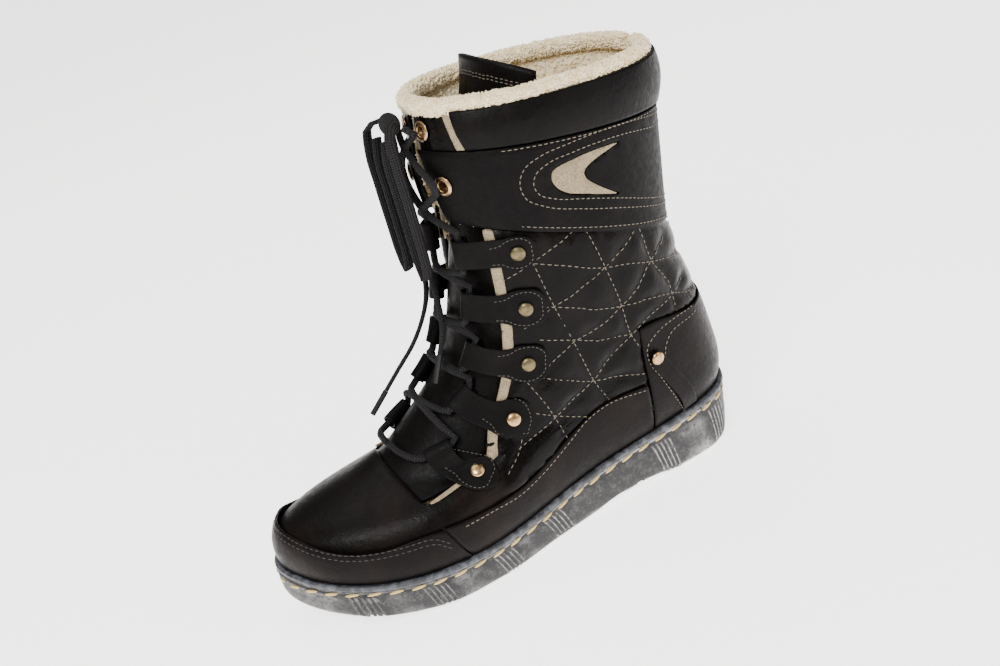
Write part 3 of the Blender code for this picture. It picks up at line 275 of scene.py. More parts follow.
def add_node(tree, kind, settings=None, **inputs):
    """One node with its settings and inputs, as its first output."""
    made = tree.nodes.new(kind)
    for key, value in (settings or {}).items():
        setattr(made, key, value)
    for key, value in inputs.items():
        feed(tree, made.inputs[key], value)
    return Wire(tree, made.outputs[0])


class Material:
    """A Principled material with the object's own coordinates at hand, in millimetres."""

    def __init__(self, name, **fixed):
        self.data = bpy.data.materials.new(name)
        self.data.use_nodes = True
        self.tree = self.data.node_tree
        self.shader = self.tree.nodes["Principled BSDF"]
        coordinates = self.tree.nodes.new("ShaderNodeTexCoord")
        self.place = Wire(self.tree, coordinates.outputs["Object"]) * 1000.0
        self.cord = Wire(self.tree, coordinates.outputs["UV"])
        for key, value in fixed.items():
            self.set(key.replace("_", " "), value)

    def set(self, key, value):
        feed(self.tree, self.shader.inputs[key], value)

    def noise(self, size, detail=3.0, roughness=0.55, at=None, distortion=0.0):
        """Noise from about 0 to 1 with features of a size in millimetres."""
        return add_node(self.tree, "ShaderNodeTexNoise", None, Vector=self.place if at is None else at,
                        Scale=1.0 / size, Detail=detail, Roughness=roughness, Distortion=distortion)

    def cells(self, size, at=None, feature="F1"):
        return add_node(self.tree, "ShaderNodeTexVoronoi", {"feature": feature},
                        Vector=self.place if at is None else at, Scale=1.0 / size)

    def bump(self, height, strength, distance):
        """Relief from a height, its distance in millimetres."""
        self.set("Normal", add_node(self.tree, "ShaderNodeBump", None, Height=height, Strength=strength,
                                    Distance=distance * MM))


# %% [markdown]
# The boot's materials.

# %% Materials
def make_leather(name, dark, light, roughness, grain=0.8, crease=9.0, relief=0.5):
    """Satin leather: fine grain, broad creases and a slightly rubbed colour."""
    made = Material(name)
    made.shader.inputs["Specular IOR Level"].default_value = 0.07
    rubbed = made.noise(26.0, 4.0).ramp(0.42, 0.78)
    pores = made.cells(grain)
    made.set("Base Color", rubbed.blend(dark, light))
    made.set("Roughness", made.noise(3.5, 5.0).ramp(0.25, 0.8, roughness - 0.07, roughness + 0.12))
    broad = made.noise(crease, 3.0, distortion=0.6)
    made.bump(pores * 0.3 + broad * 1.4 + made.noise(1.8, 4.0) * 0.35, relief, 0.5)
    return made.data


def make_suede():
    made = Material("suede")
    fleck = made.noise(0.7, 4.0).ramp(0.3, 0.72)
    broad = made.noise(5.0, 3.0).ramp(0.3, 0.7)
    made.set("Base Color", fleck.blend(broad.blend((0.12, 0.086, 0.045), (0.20, 0.15, 0.086)), (0.33, 0.265, 0.165)))
    made.set("Roughness", 0.9)
    made.bump(fleck, 0.6, 0.25)
    return made.data


def ridge_of(made):
    """The vertex value that is high on a piece's ridges."""
    source = made.tree.nodes.new("ShaderNodeAttribute")
    source.attribute_name = "ridge"
    return Wire(made.tree, source.outputs["Fac"])


def make_rubber():
    """Worn sole rubber: near black with pale scuffs, and pale ridges that are partly wear and partly painted
    highlight, darker towards the toe.
    """
    made = Material("sole_rubber")
    scuff = made.noise(6.0, 6.0, 0.7).ramp(0.42, 0.66)
    speck = made.noise(1.1, 3.0, 0.8).ramp(0.38, 0.7)
    toe = made.place.part(1).ramp(-215.0, -80.0, 0.3, 1.0)
    # pale ridges, patchy: partly wear, partly a painted highlight where light catches the raised ribs
    ridge_wear_and_highlight = ridge_of(made).ramp(0.56, 0.85) * made.noise(2.6, 4.0, 0.7).ramp(0.3, 0.6)
    grime = (scuff * speck).blend((0.008, 0.008, 0.009), (0.10, 0.098, 0.09))
    made.set("Base Color", (ridge_wear_and_highlight * toe).blend(grime, (0.50, 0.49, 0.47)))
    made.set("Roughness", 0.62)
    made.bump(made.noise(1.1, 4.0, 0.7) + scuff * 0.6, 0.6, 0.4)
    return made.data


def make_welt_rubber():
    made = Material("welt_rubber")
    scuff = made.noise(5.0, 5.0, 0.7).ramp(0.4, 0.7)
    # the blue-grey on the welt's ridges is a painted highlight along the rand's bead; the scuffs are wear
    ridge_wear_and_highlight = ridge_of(made).ramp(0.55, 0.9)
    made.set("Base Color", (scuff * 0.6 + ridge_wear_and_highlight * 0.6).blend((0.010, 0.011, 0.013), (0.15, 0.16, 0.18)))
    made.set("Roughness", 0.5)
    made.bump(made.noise(0.9, 4.0), 0.4, 0.2)
    return made.data


def make_fleece():
    made = Material("fleece")
    lock = made.noise(4.0, 3.0).ramp(0.25, 0.75)
    made.set("Base Color", lock.blend((0.78, 0.61, 0.36), (0.95, 0.84, 0.60)))
    made.set("Roughness", 1.0)
    made.shader.inputs["Specular IOR Level"].default_value = 0.1
    made.bump(made.noise(1.6, 4.0, 0.7), 0.8, 0.8)
    return made.data


def make_brass(name, colour, roughness):
    made = Material(name, Metallic=1.0)
    stain = made.noise(2.6, 4.0).ramp(0.4, 0.8)
    made.set("Base Color", stain.blend(colour, tuple(c * 0.4 for c in colour)))
    made.set("Roughness", stain.ramp(0.0, 1.0, roughness, roughness + 0.2))
    return made.data


def weave_of(made, across, along):
    """Yarn relief and colour from two directions in millimetres."""
    yarn = (across + along).maths("SINE") * (across - along).maths("SINE")
    made.set("Base Color", yarn.ramp(-1.0, 1.0).blend((0.0035, 0.0035, 0.004), (0.022, 0.021, 0.021)))
    made.set("Roughness", 0.95)
    made.shader.inputs["Specular IOR Level"].default_value = 0.15
    made.bump(yarn, 0.7, 0.4)
    return made.data


def make_plain(name, colour, roughness):
    return Material(name, Base_Color=colour, Roughness=roughness).data


LEATHER = make_leather("leather_vamp", (0.0026, 0.0018, 0.0015), (0.0075, 0.0046, 0.0036), 0.36)
MATTE_LEATHER = make_leather("leather_cuff", (0.0018, 0.0015, 0.0014), (0.0042, 0.0032, 0.0028), 0.50, 0.9, 14.0)
COLLAR_LEATHER = make_leather("leather_collar", (0.0018, 0.0015, 0.0014), (0.0042, 0.0032, 0.0028), 0.42, 0.9, 6.0)
TONGUE_LEATHER = make_leather("leather_tongue", (0.0022, 0.0017, 0.0015), (0.0050, 0.0038, 0.0033), 0.44, 0.8, 8.0)
PUFFED_LEATHER = make_leather("leather_quilted", (0.0020, 0.0015, 0.0013), (0.0048, 0.0036, 0.0030), 0.27, 1.0, 6.0,
                              0.35)
SUEDE = make_suede()
SOLE_RUBBER = make_rubber()
WELT_RUBBER = make_welt_rubber()
FLEECE = make_fleece()
BRASS = make_brass("rivet_brass", (0.15, 0.12, 0.066), 0.42)
COPPER = make_brass("eyelet_brass", (0.52, 0.33, 0.16), 0.26)
woven = Material("lace_weave")
WEAVE = weave_of(woven, woven.cord.part(0) * 3.14159, woven.cord.part(1) * 2.6)
woven = Material("lace_yarn")
YARN = weave_of(woven, woven.place.part(0) * 3.0, (woven.place.part(2) + woven.place.part(1)) * 2.2)
AGLET = make_plain("aglet_plastic", (0.006, 0.006, 0.006), 0.25)
CREAM_THREAD = make_plain("thread_cream", (0.60, 0.43, 0.17), 0.8)
GREY_THREAD = make_plain("thread_grey", (0.15, 0.128, 0.095), 0.8)
DIM_THREAD = make_plain("thread_dim", (0.06, 0.053, 0.045), 0.8)
DARK_THREAD = make_plain("thread_dark", (0.012, 0.011, 0.011), 0.6)
print("Made", len(bpy.data.materials), "materials")


def finish_of(name):
    """The material of a solid, by its name."""
    for start, finish in (
            ("outsole", SOLE_RUBBER), ("welt", WELT_RUBBER), ("insole", FLEECE), ("upper", PUFFED_LEATHER),
            ("cuff", MATTE_LEATHER), ("collar_band", MATTE_LEATHER), ("suede", SUEDE), ("collar_edging", SUEDE),
            ("throat_edging", SUEDE), ("rivet_outer_4", COPPER), ("rivet_outer_5", COPPER), ("rivet_inner_4", COPPER),
            ("rivet_inner_5", COPPER), ("rivet", BRASS), ("counter_rivet", COPPER), ("eyelet", COPPER),
            ("lace_tab", MATTE_LEATHER), ("lace", YARN), ("bow", YARN), ("aglet", AGLET)):
        if name.startswith(start):
            return finish
    return LEATHER


for name, solid in NODES.items():
    solid.data.materials.clear()
    solid.data.materials.append(finish_of(name))
for piece in cords:
    piece.data.materials.append(WEAVE)

# %% [markdown]
# The solids are coarse, so each visible one is dressed in a smooth copy of itself. A copy's facets are joined
# again, its real edges are kept firm, and it is subdivided.

# %% Smooth copies
def welded(node, fold):
    """A solid's mesh as joined quads, with a crease on each edge that folds by more than an angle."""
    work = bmesh.new()
    work.from_mesh(NODES[node].data)
    bmesh.ops.remove_doubles(work, verts=work.verts, dist=2e-6)
    bmesh.ops.join_triangles(work, faces=work.faces, angle_face_threshold=math.radians(25),
                             angle_shape_threshold=math.radians(80))
    bmesh.ops.recalc_face_normals(work, faces=work.faces)
    crease = work.edges.layers.float.new("crease_edge")
    for edge in work.edges:
        if len(edge.link_faces) == 2 and edge.calc_face_angle() > math.radians(fold):
            edge[crease] = 1.0
    return work, crease


def evaluated(made, name):
    """A made object's finished shape as a plain mesh object; the working one is removed."""
    bpy.context.view_layer.update()
    mesh = bpy.data.meshes.new_from_object(made.evaluated_get(bpy.context.evaluated_depsgraph_get()))
    bpy.data.objects.remove(made, do_unlink=True)
    mesh.name = name
    return link(name, mesh)


def smooth_copy(node, finish, levels=2, fold=40.0, firmness=0.8):
    """A smooth piece that replaces a solid."""
    work, crease = welded(node, fold)
    for edge in work.edges:
        edge[crease] *= firmness
    mesh = bpy.data.meshes.new(node + "_work")
    work.to_mesh(mesh)
    work.free()
    made = link(node + "_work", mesh)
    surface = made.modifiers.new("smooth", "SUBSURF")
    surface.levels = levels
    surface.render_levels = levels
    piece = evaluated(made, node + "_skin")
    piece.data.materials.clear()
    piece.data.materials.append(finish)
    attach(piece, "root")
    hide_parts(node)
    return piece


SKINS = {}
for node, finish, slot, levels, firmness in (
        ("upper", PUFFED_LEATHER, "leather", 2, 0.9), ("toe_band", LEATHER, "leather", 2, 0.55),
        ("mudguard_outer", LEATHER, "leather", 2, 0.7), ("mudguard_inner", LEATHER, "leather", 2, 0.7),
        ("heel_counter", LEATHER, "leather", 2, 0.75), ("cuff", MATTE_LEATHER, "leather", 2, 0.8),
        ("collar_band", COLLAR_LEATHER, "leather", 2, 0.5), ("tongue", TONGUE_LEATHER, "leather", 2, 0.55),
        ("counter_strap_outer", LEATHER, "leather", 2, 0.5), ("counter_strap_inner", LEATHER, "leather", 2, 0.5),
        ("welt", WELT_RUBBER, "rubber_welt", 1, 0.6), ("outsole", SOLE_RUBBER, "rubber_sole", 1, 0.9),
        ("throat_edging_outer", SUEDE, "suede", 1, 0.6), ("throat_edging_inner", SUEDE, "suede", 1, 0.6),
        ("collar_edging_outer", SUEDE, "suede", 1, 0.6), ("collar_edging_inner", SUEDE, "suede", 1, 0.6),
        ("suede_inlay_outer", SUEDE, "suede", 1, 0.9), ("suede_inlay_inner", SUEDE, "suede", 1, 0.9),
        ("insole", FLEECE, "fleece", 1, 0.8), ("lace_crossings", YARN, "lace", 1, 0.8),
        ("lace_knot", YARN, "lace", 1, 0.8)):
    SKINS[node] = smooth_copy(node, finish, levels, firmness=firmness)
for side in ("outer", "inner"):
    for level in range(1, 6):
        node = f"lace_tab_{side}_{level}"
        SKINS[node] = smooth_copy(node, MATTE_LEATHER, 2, 50.0, 0.45)
for node in NODES:
    if node.startswith(("rivet", "counter_rivet", "eyelet")):
        SKINS[node] = smooth_copy(node, finish_of(node), 2, 50.0, 0.5)
for side in ("outer", "inner"):
    for vertex in SKINS["throat_edging_" + side].data.vertices:
        vertex.co += vertex.normal * 0.55 * MM
print("Copied", len(SKINS), "solids")


def tree_of(*pieces):
    """One search tree over the surfaces of several pieces."""
    corners, faces = [], []
    for piece in pieces:
        mesh = piece.data
        start = len(corners)
        corners += [vertex.co.copy() for vertex in mesh.vertices]
        faces += [tuple(start + v for v in polygon.vertices) for polygon in mesh.polygons]
    return BVHTree.FromPolygons(corners, faces)


# %% [markdown]
# Lines are laid on the boot from the side view. Each place is (along_foot, up), and it is pushed onto the
# surface from outside, level with a core line that runs up the shaft and forward through the foot.

# %% Lines on the surface
def core_of(point, foot):
    """The place on the core line that faces a point, in millimetres."""
    out, length, up = point
    if foot:
        return np.array((0.0, min(max(length, 60.0), 225.0), 22.0))
    return np.array((0.0, min(max(length, 68.0), 100.0 + max(0.0, 110.0 - up) * 1.3), up))


def press(tree, points, lift=0.0, foot=False):
    """Points moved onto a surface along the way to the core line, with a lift off it, in millimetres."""
    laid = []
    for point in points:
        core = core_of(point, foot)
        way = np.array(point) - core
        way /= np.linalg.norm(way)
        start = place(core + way * 130.0)[0]
        aim = Vector(place(core)[0]) - Vector(start)
        hit, normal, _, _ = tree.ray_cast(Vector(start), aim.normalized())
        if hit is None:
            continue
        laid.append(unplace(hit + normal * lift * MM)[0])
    return np.array(laid)


def sideways(tree, line, side, count=6):
    """A side view's line on one side of the boot: smooth between its places, then pressed on from the side."""
    line = np.asarray(line, float)
    route, length = smooth_route(np.column_stack((line, np.zeros(len(line)))), max(3, int(len(line) * count)))
    laid = []
    for along_foot, up, _ in route:
        start = Vector(place((side * 120.0, along_foot, up))[0])
        hit, normal, _, _ = tree.ray_cast(start, Vector((-side, 0, 0)))
        if hit is not None and hit.x * side > 0:
            laid.append(unplace(hit)[0])
    return np.array(laid)


def around(tree, rise_of, front, lift=0.15, turns=90):
    """A line round the back of the shaft, its height given by a function of along_foot, up to a front limit."""
    laid = []
    for bearing in np.radians(np.linspace(-165, 165, turns)):
        up = rise_of(60.0)
        for _ in range(4):
            start = place((math.sin(bearing) * 130.0, 75.0 - math.cos(bearing) * 130.0, up))[0]
            aim = Vector(place((0.0, 75.0, up))[0]) - Vector(start)
            hit, normal, _, _ = tree.ray_cast(Vector(start), aim.normalized())
            if hit is None:
                break
            spot = unplace(hit + normal * lift * MM)[0]
            up = rise_of(spot[1])
        if hit is not None and spot[1] <= front:
            laid.append(spot)
    return np.array(laid)


def edge_ring(node, top, centre=85.0, bins=90):
    """A smooth copy's top or bottom edge all round a point on the foot, one place for each bearing."""
    corners = unplace(np.array([v.co[:] for v in SKINS[node].data.vertices]))
    bearing = np.degrees(np.arctan2(corners[:, 0], corners[:, 1] - centre))
    ring = []
    for k in range(bins):
        near = np.abs((bearing - (k * 360.0 / bins - 180.0) + 180.0) % 360.0 - 180.0) < 5.5
        if near.any():
            found = corners[near]
            ring.append(found[np.argmax(found[:, 2] if top else -found[:, 2])])
    ring = np.array(ring)
    for _ in range(3):
        ring[1:-1] = (ring[:-2] + ring[1:-1] + ring[2:]) / 3
    return ring


# %% [markdown]
# The quilting: lines as they run in the side view, the same on both sides. The leather is drawn in at the
# lines and padded out between them, and less beside the tabs.

# %% Quilting
QUILT_LINES = (
    ((115, 159), (101, 153), (80, 143), (66, 139), (51, 133), (32, 126)),
    ((118, 135), (102, 129), (91, 123), (74, 117), (56, 113), (40, 108), (28, 102)),
    ((121, 117), (104, 110), (92, 104), (78, 100), (71, 98)),
    ((126, 96), (113, 89), (98, 81), (84, 77), (68, 71)),
    ((134, 78), (123, 71), (108, 63)),
    ((131, 154), (123, 157), (114, 161), (104, 165), (94, 169)),
    ((127, 126), (111, 133), (94, 138), (80, 143), (69, 148), (59, 154)),
    ((127, 98), (120, 102), (105, 109), (91, 111), (74, 117), (64, 122), (53, 132), (38, 140)),
    ((149, 64), (125, 71), (111, 77), (98, 82), (85, 91), (71, 97), (58, 103), (40, 107), (30, 111)),
    ((86, 166), (80, 144), (74, 118), (71, 98), (68, 90)),
    ((116, 159), (111, 133), (105, 109), (98, 81), (92, 67)),
    ((54, 153), (50, 133), (40, 113), (39, 101)),
    ((134, 96), (126, 74), (122, 58)),
    ((160, 56), (149, 64), (141, 84)))
PUFF = 2.6
PUFF_REACH = 8.5

upper = SKINS["upper"]
upper_tree = tree_of(upper)
quilt = [sideways(upper_tree, line, side) for line in QUILT_LINES for side in (1, -1)]
quilt += [around(upper_tree, lambda along: 126.0 + 0.3 * (along - 32.0), 33.0),
          around(upper_tree, lambda along: 102.0 + 0.3 * (along - 28.0), 29.0)]


def fitted_edge(node):
    """The height of a solid's lower edge along the foot, as a curve through its ring."""
    ring = edge_ring(node, False)
    ring = ring[ring[:, 1] < 108]
    for _ in range(4):
        curve = np.poly1d(np.polyfit(ring[:, 1], ring[:, 2], 2))
        off = np.abs(ring[:, 2] - curve(ring[:, 1]))
        ring = ring[off <= max(np.percentile(off, 85), 0.4)]
    return curve


cuff_line = fitted_edge("cuff")
collar_line = fitted_edge("collar_band")
print("Cuff and collar edges at 80 mm:", round(float(cuff_line(80.0)), 1), round(float(collar_line(80.0)), 1))


def distance_to(points, lines):
    """Each point's distance to the nearest place on any of the lines."""
    places = np.concatenate(lines)
    return np.array([np.sqrt(np.min(np.sum((places - point) ** 2, axis=1))) for point in points])


def pad_out(piece, tree, covers):
    """Padding between the quilt's lines on the outside; the inside faces take the lining."""
    mesh = piece.data
    spots = unplace(np.array([v.co[:] for v in mesh.vertices]))
    normals = np.array([v.normal[:] for v in mesh.vertices])
    tabs = [unplace(np.array([v.co[:] for v in NODES[n].data.vertices])) for n in NODES
            if n.startswith(("lace_tab", "counter_strap", "throat_edging"))]
    edges = [edge_ring("heel_counter", True), edge_ring("mudguard_outer", True), edge_ring("mudguard_inner", True)]
    zone = (spots[:, 2] > 46) & (spots[:, 2] < 176) & (spots[:, 1] < 165)
    for k in np.flatnonzero(zone):
        start = Vector(mesh.vertices[k].co) + Vector(normals[k]) * 0.6 * MM
        inside = tree.ray_cast(start, Vector(normals[k]), 0.25)[0] is not None
        if inside or covers.ray_cast(start, Vector(normals[k]), 0.006)[0] is not None:
            zone[k] = False
    picked = np.flatnonzero(zone)
    near = distance_to(spots[picked], quilt + edges)
    beside = np.clip((distance_to(spots[picked], tabs) - 1.5) / 6.0, 0.0, 1.0)
    cuff_gap = np.clip((cuff_line(spots[picked, 1]) - 1.0 - spots[picked, 2]) / PUFF_REACH, 0.0, 1.0)
    swell = 1 - (1 - np.minimum(np.clip(near / PUFF_REACH, 0.0, 1.0), cuff_gap)) ** 2
    rise = PUFF * swell * beside - 0.15
    for k, lift in zip(picked, rise):
        mesh.vertices[k].co += Vector(normals[k]) * float(lift) * MM
    mesh.materials.append(FLEECE)
    mesh.materials.append(LEATHER)
    for polygon in mesh.polygons:
        spot = unplace(polygon.center[:])[0]
        outward = spot - core_of(spot, spot[1] > 150)
        facing = np.array((polygon.normal.x, -polygon.normal.y, polygon.normal.z)).dot(outward)
        if facing < -0.25 * np.linalg.norm(outward):
            polygon.material_index = 1
        elif spot[1] > 165:
            polygon.material_index = 2


pad_out(upper, upper_tree, tree_of(*(SKINS[n] for n in ("cuff", "collar_band", "heel_counter", "mudguard_outer",
                                                        "mudguard_inner", "toe_band"))))
print("Padded the quilting between", len(quilt), "lines")

# %% [markdown]
# Threads are one Geometry Nodes group: a short bead at even steps along each line, slanted if asked. It ends
# with Realize Instances and Set Material, and its result is kept as a plain mesh.

# %% Repeats with Geometry Nodes
def new_group(name, *sockets):
    """A geometry node group with named inputs, and its input and output nodes."""
    group = bpy.data.node_groups.new(name, "GeometryNodeTree")
    group.interface.new_socket("Geometry", in_out="INPUT", socket_type="NodeSocketGeometry")
    for label, kind, value in sockets:
        socket = group.interface.new_socket(label, in_out="INPUT", socket_type=kind)
        if value is not None:
            socket.default_value = value
    group.interface.new_socket("Geometry", in_out="OUTPUT", socket_type="NodeSocketGeometry")
    return group, group.nodes.new("NodeGroupInput"), group.nodes.new("NodeGroupOutput")


def step(group, kind, links, **settings):
    """One node; links maps its input names or numbers to a socket or a value."""
    made = group.nodes.new(kind)
    for key, value in settings.items():
        setattr(made, key, value)
    for key, value in links.items():
        if isinstance(value, bpy.types.NodeSocket):
            group.links.new(value, made.inputs[key])
        else:
            made.inputs[key].default_value = value
    return made


def grown(name, source, group, finish, slot, **values):
    """A plain mesh piece grown from a source object by a group with these named inputs."""
    modifier = source.modifiers.new("grow", "NODES")
    modifier.node_group = group
    for item in group.interface.items_tree:
        if item.item_type == "SOCKET" and item.in_out == "INPUT" and item.name in values:
            modifier[item.identifier] = values[item.name]
        if item.item_type == "SOCKET" and item.in_out == "INPUT" and item.name == "Material":
            modifier[item.identifier] = finish
    piece = evaluated(source, name)
    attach(piece, "root")
    return piece


def thread_group():
    group, given, result = new_group(
        "thread", ("Pitch", "NodeSocketFloat", 0.0036), ("Length", "NodeSocketFloat", 0.0025),
        ("Radius", "NodeSocketFloat", 0.0003), ("Slant", "NodeSocketFloat", 0.0),
        ("Material", "NodeSocketMaterial", None))
    even = step(group, "GeometryNodeResampleCurve", {"Curve": given.outputs["Geometry"],
                                                     "Length": given.outputs["Pitch"]}, mode="LENGTH")
    ahead = step(group, "GeometryNodeInputTangent", {})
    rise = step(group, "ShaderNodeCombineXYZ", {"Z": given.outputs["Slant"]})
    way = step(group, "ShaderNodeVectorMath", {0: ahead.outputs[0], 1: rise.outputs[0]}, operation="ADD")
    turned = step(group, "FunctionNodeAlignRotationToVector", {"Vector": way.outputs[0]}, axis="Z")
    half = step(group, "ShaderNodeMath", {0: given.outputs["Length"], 1: 0.5}, operation="MULTIPLY")
    size = step(group, "ShaderNodeCombineXYZ", {"X": given.outputs["Radius"], "Y": given.outputs["Radius"],
                                                "Z": half.outputs[0]})
    bead = step(group, "GeometryNodeMeshUVSphere", {"Segments": 6, "Rings": 5, "Radius": 1.0})
    spread = step(group, "GeometryNodeInstanceOnPoints", {
        "Points": even.outputs[0], "Instance": bead.outputs[0], "Rotation": turned.outputs[0],
        "Scale": size.outputs[0]})
    real = step(group, "GeometryNodeRealizeInstances", {"Geometry": spread.outputs[0]})
    done = step(group, "GeometryNodeSetMaterial", {"Geometry": real.outputs[0],
                                                   "Material": given.outputs["Material"]})
    group.links.new(done.outputs[0], result.inputs["Geometry"])
    return group


THREAD = thread_group()


def sew(name, lines, finish, pitch=3.5, length=2.4, radius=0.27, slant=0.0):
    """Stitches along lines that lie on the surface, in millimetres."""
    curve = bpy.data.curves.new(name, "CURVE")
    curve.dimensions = "3D"
    for line in lines:
        if len(line) < 2:
            continue
        spline = curve.splines.new("POLY")
        spline.points.add(len(line) - 1)
        for point, spot in zip(spline.points, place(line)):
            point.co = (*spot, 1.0)
    source = bpy.data.objects.new(name + "_lines", curve)
    bpy.context.scene.collection.objects.link(source)
    piece = grown(name, source, THREAD, finish, None, Pitch=pitch * MM, Length=length * MM, Radius=radius * MM,
                  Slant=slant)
    print(name, len(piece.data.polygons), "faces")
    return piece


def lifted(tree, line, lift=0.15, foot=False):
    return press(tree, line, lift, foot)


padded_tree = tree_of(upper)
sew("quilt_stitches", [lifted(padded_tree, line) for line in quilt], GREY_THREAD)

# %% [markdown]
# Stitches on the cuff, the counter, the guards, the tabs and the toe. Places are (along_foot, up).

# %% Other seams
WINDOW_SEAM = ((27, 205.6), (54.9, 212), (87.9, 213.6), (101, 212.6), (110.4, 208.6), (113.7, 203),
               (112.8, 194.3), (104.4, 187.2), (86.2, 179.3), (65.3, 171.3), (38.9, 160.2))
WINDOW_INNER = ((31, 200.5), (56, 206.8), (86, 208.8), (99, 207.8), (106, 204), (107.8, 199.5), (106, 194),
                (99, 189.5), (84, 184), (64, 176.2), (42, 166))
COUNTER_SEAMS = (((28, 94), (41, 94.5), (56, 91.5), (63, 86), (63.5, 77), (58, 64), (45, 34)),
                 ((26, 90), (48, 86), (52, 80), (53, 72), (50, 60), (37, 34)))
GUARD_SEAM = ((192, 42.4), (176, 42.6), (158, 42.2), (142.4, 45.7), (122.7, 53.8), (107.1, 61.4), (92.2, 64.1),
              (70.2, 61.6))
overlay_tree = tree_of(*(SKINS[n] for n in ("cuff", "collar_band", "heel_counter", "mudguard_outer",
                                            "mudguard_inner", "toe_band", "upper")))
grey_lines = []
for side in (1, -1):
    for line in (WINDOW_SEAM, WINDOW_INNER, *COUNTER_SEAMS, GUARD_SEAM):
        grey_lines.append(lifted(overlay_tree, sideways(overlay_tree, line, side)))
grey_lines.append(around(overlay_tree, lambda along: cuff_line(along) + 2.6, 121.0))
grey_lines.append(around(overlay_tree, lambda along: collar_line(along) - 2.4, 121.0))
for height, slope, along_end in ((205.6, 0.23, 27.0), (160.2, 0.42, 38.9), (200.5, 0.25, 31.0), (166.0, 0.46, 42.0)):
    grey_lines.append(around(overlay_tree, lambda along: height + slope * (along - along_end), along_end))
sew("seam_stitches", grey_lines, GREY_THREAD, 3.0, 2.1, 0.27)

toe_edge = edge_ring("toe_band", True, 190.0, 60)
toe_edge = toe_edge[toe_edge[:, 1] > 203]
toe_edge = toe_edge[np.argsort(np.arctan2(toe_edge[:, 0], toe_edge[:, 1] - 190.0))]
toe_lines = [lifted(overlay_tree, toe_edge + (0, 0, rise), 0.1, foot=True) for rise in (-2.0, -5.0)]
sew("toe_stitches", toe_lines, DARK_THREAD, 3.2, 2.3, 0.34)

TAB_PATH = ((15, 5.2), (10, 5.8), (6, 8.0), (-4.5, 8.2), (-7.9, 5.0), (-8.2, 0), (-7.9, -5.0), (-4.5, -8.2),
            (6, -8.0), (10, -5.8), (15, -5.2))
tab_lines = []
for side in ("outer", "inner"):
    for level in range(1, 6):
        corners = unplace(np.array([v.co[:] for v in NODES[f"lace_tab_{side}_{level}"].data.vertices]))
        rivet = unplace(np.array([v.co[:] for v in NODES[f"rivet_{side}_{level}"].data.vertices])).mean(0)
        far = corners[np.argsort(np.abs(corners[:, 0]))[:40]].mean(0)
        normal = rivet - core_of(rivet, level > 3)
        normal /= np.linalg.norm(normal)
        strap = far - rivet
        strap -= normal * strap.dot(normal)
        strap /= np.linalg.norm(strap)
        width = np.cross(normal, strap)
        size = 0.86 if level == 1 else 1.0
        tab_tree = tree_of(SKINS[f"lace_tab_{side}_{level}"])
        laid = []
        route, _ = smooth_route([(*p, 0.0) for p in TAB_PATH], 60)
        for ahead, beside, _ in route * size:
            start = rivet + strap * ahead + width * beside + normal * 12.0
            aim = Vector(place(rivet)[0]) - Vector(place(rivet + normal)[0])
            hit, face, _, _ = tab_tree.ray_cast(Vector(place(start)[0]), aim.normalized())
            if hit is not None:
                laid.append(unplace(hit + face * 0.1 * MM)[0])
        tab_lines.append(np.array(laid))
tongue_tree = tree_of(SKINS["tongue"])
tongue_lines = [[], []]
for out in np.linspace(-34, 34, 35):
    for up in np.arange(266.0, 236.0, -0.5):
        start = Vector(place((out, 220.0, up))[0])
        hit, normal, _, _ = tongue_tree.ray_cast(start, Vector((0, 1, 0)))
        if hit is not None:
            break
    for row, drop in zip(tongue_lines, (7.0, 8.6)):
        start = Vector(place((out, 220.0, up - drop))[0])
        hit, normal, _, _ = tongue_tree.ray_cast(start, Vector((0, 1, 0)))
        if hit is not None:
            row.append(unplace(hit + normal * 0.1 * MM)[0])
sew("tongue_stitches", [np.array(row) for row in tongue_lines], GREY_THREAD, 2.6, 1.8, 0.24)
sew("tab_stitches", tab_lines, DIM_THREAD, 2.3, 1.6, 0.24)

# %% [markdown]
# Pale edges: a value on each vertex tells ridges from hollows, and the rubber's colour reads it, as a painted
# highlight on the welt's ridges and as wear with a painted highlight on the sole's. The cream stitches between welt
# and sole are slanted beads along the welt's lower edge.

# %% Sole and welt
def mark_ridges(piece, reach):
    """A vertex value that is high on ridges and low in hollows, from the distance to the neighbours' mean."""
    mesh = piece.data
    work = bmesh.new()
    work.from_mesh(mesh)
    work.normal_update()
    ridge = [min(max(0.5 + (v.co - sum((e.other_vert(v).co for e in v.link_edges), Vector()) / len(v.link_edges))
                     .dot(v.normal) / (reach * MM), 0.0), 1.0) for v in work.verts]
    work.free()
    layer = mesh.attributes.new("ridge", "FLOAT", "POINT")
    layer.data.foreach_set("value", ridge)


mark_ridges(SKINS["outsole"], 1.0)
mark_ridges(SKINS["welt"], 0.8)
sole_tree = tree_of(SKINS["outsole"], SKINS["welt"])
welt_edge = edge_ring("welt", False, 140.0, 150)
welt_line = []
for spot in np.concatenate((welt_edge, welt_edge[:1])):
    outward = np.array((spot[0], (spot[1] - min(max(spot[1], 60.0), 225.0)), 0.0))
    outward /= max(np.linalg.norm(outward), 1e-6)
    start = Vector(place(spot + outward * 40.0 - (0, 0, 1.6))[0])
    aim = Vector(place(spot)[0]) - Vector(place(spot + outward)[0])
    hit, normal, _, _ = sole_tree.ray_cast(start, aim.normalized())
    if hit is not None:
        welt_line.append(unplace(hit + normal * 0.35 * MM)[0])
sew("welt_stitches", [np.array(welt_line)], CREAM_THREAD, 11.5, 8.0, 0.85, slant=0.16)

# %% [markdown]
# The fleece: seeded tufts over the lining, thick at the rim and on the edge of the throat.

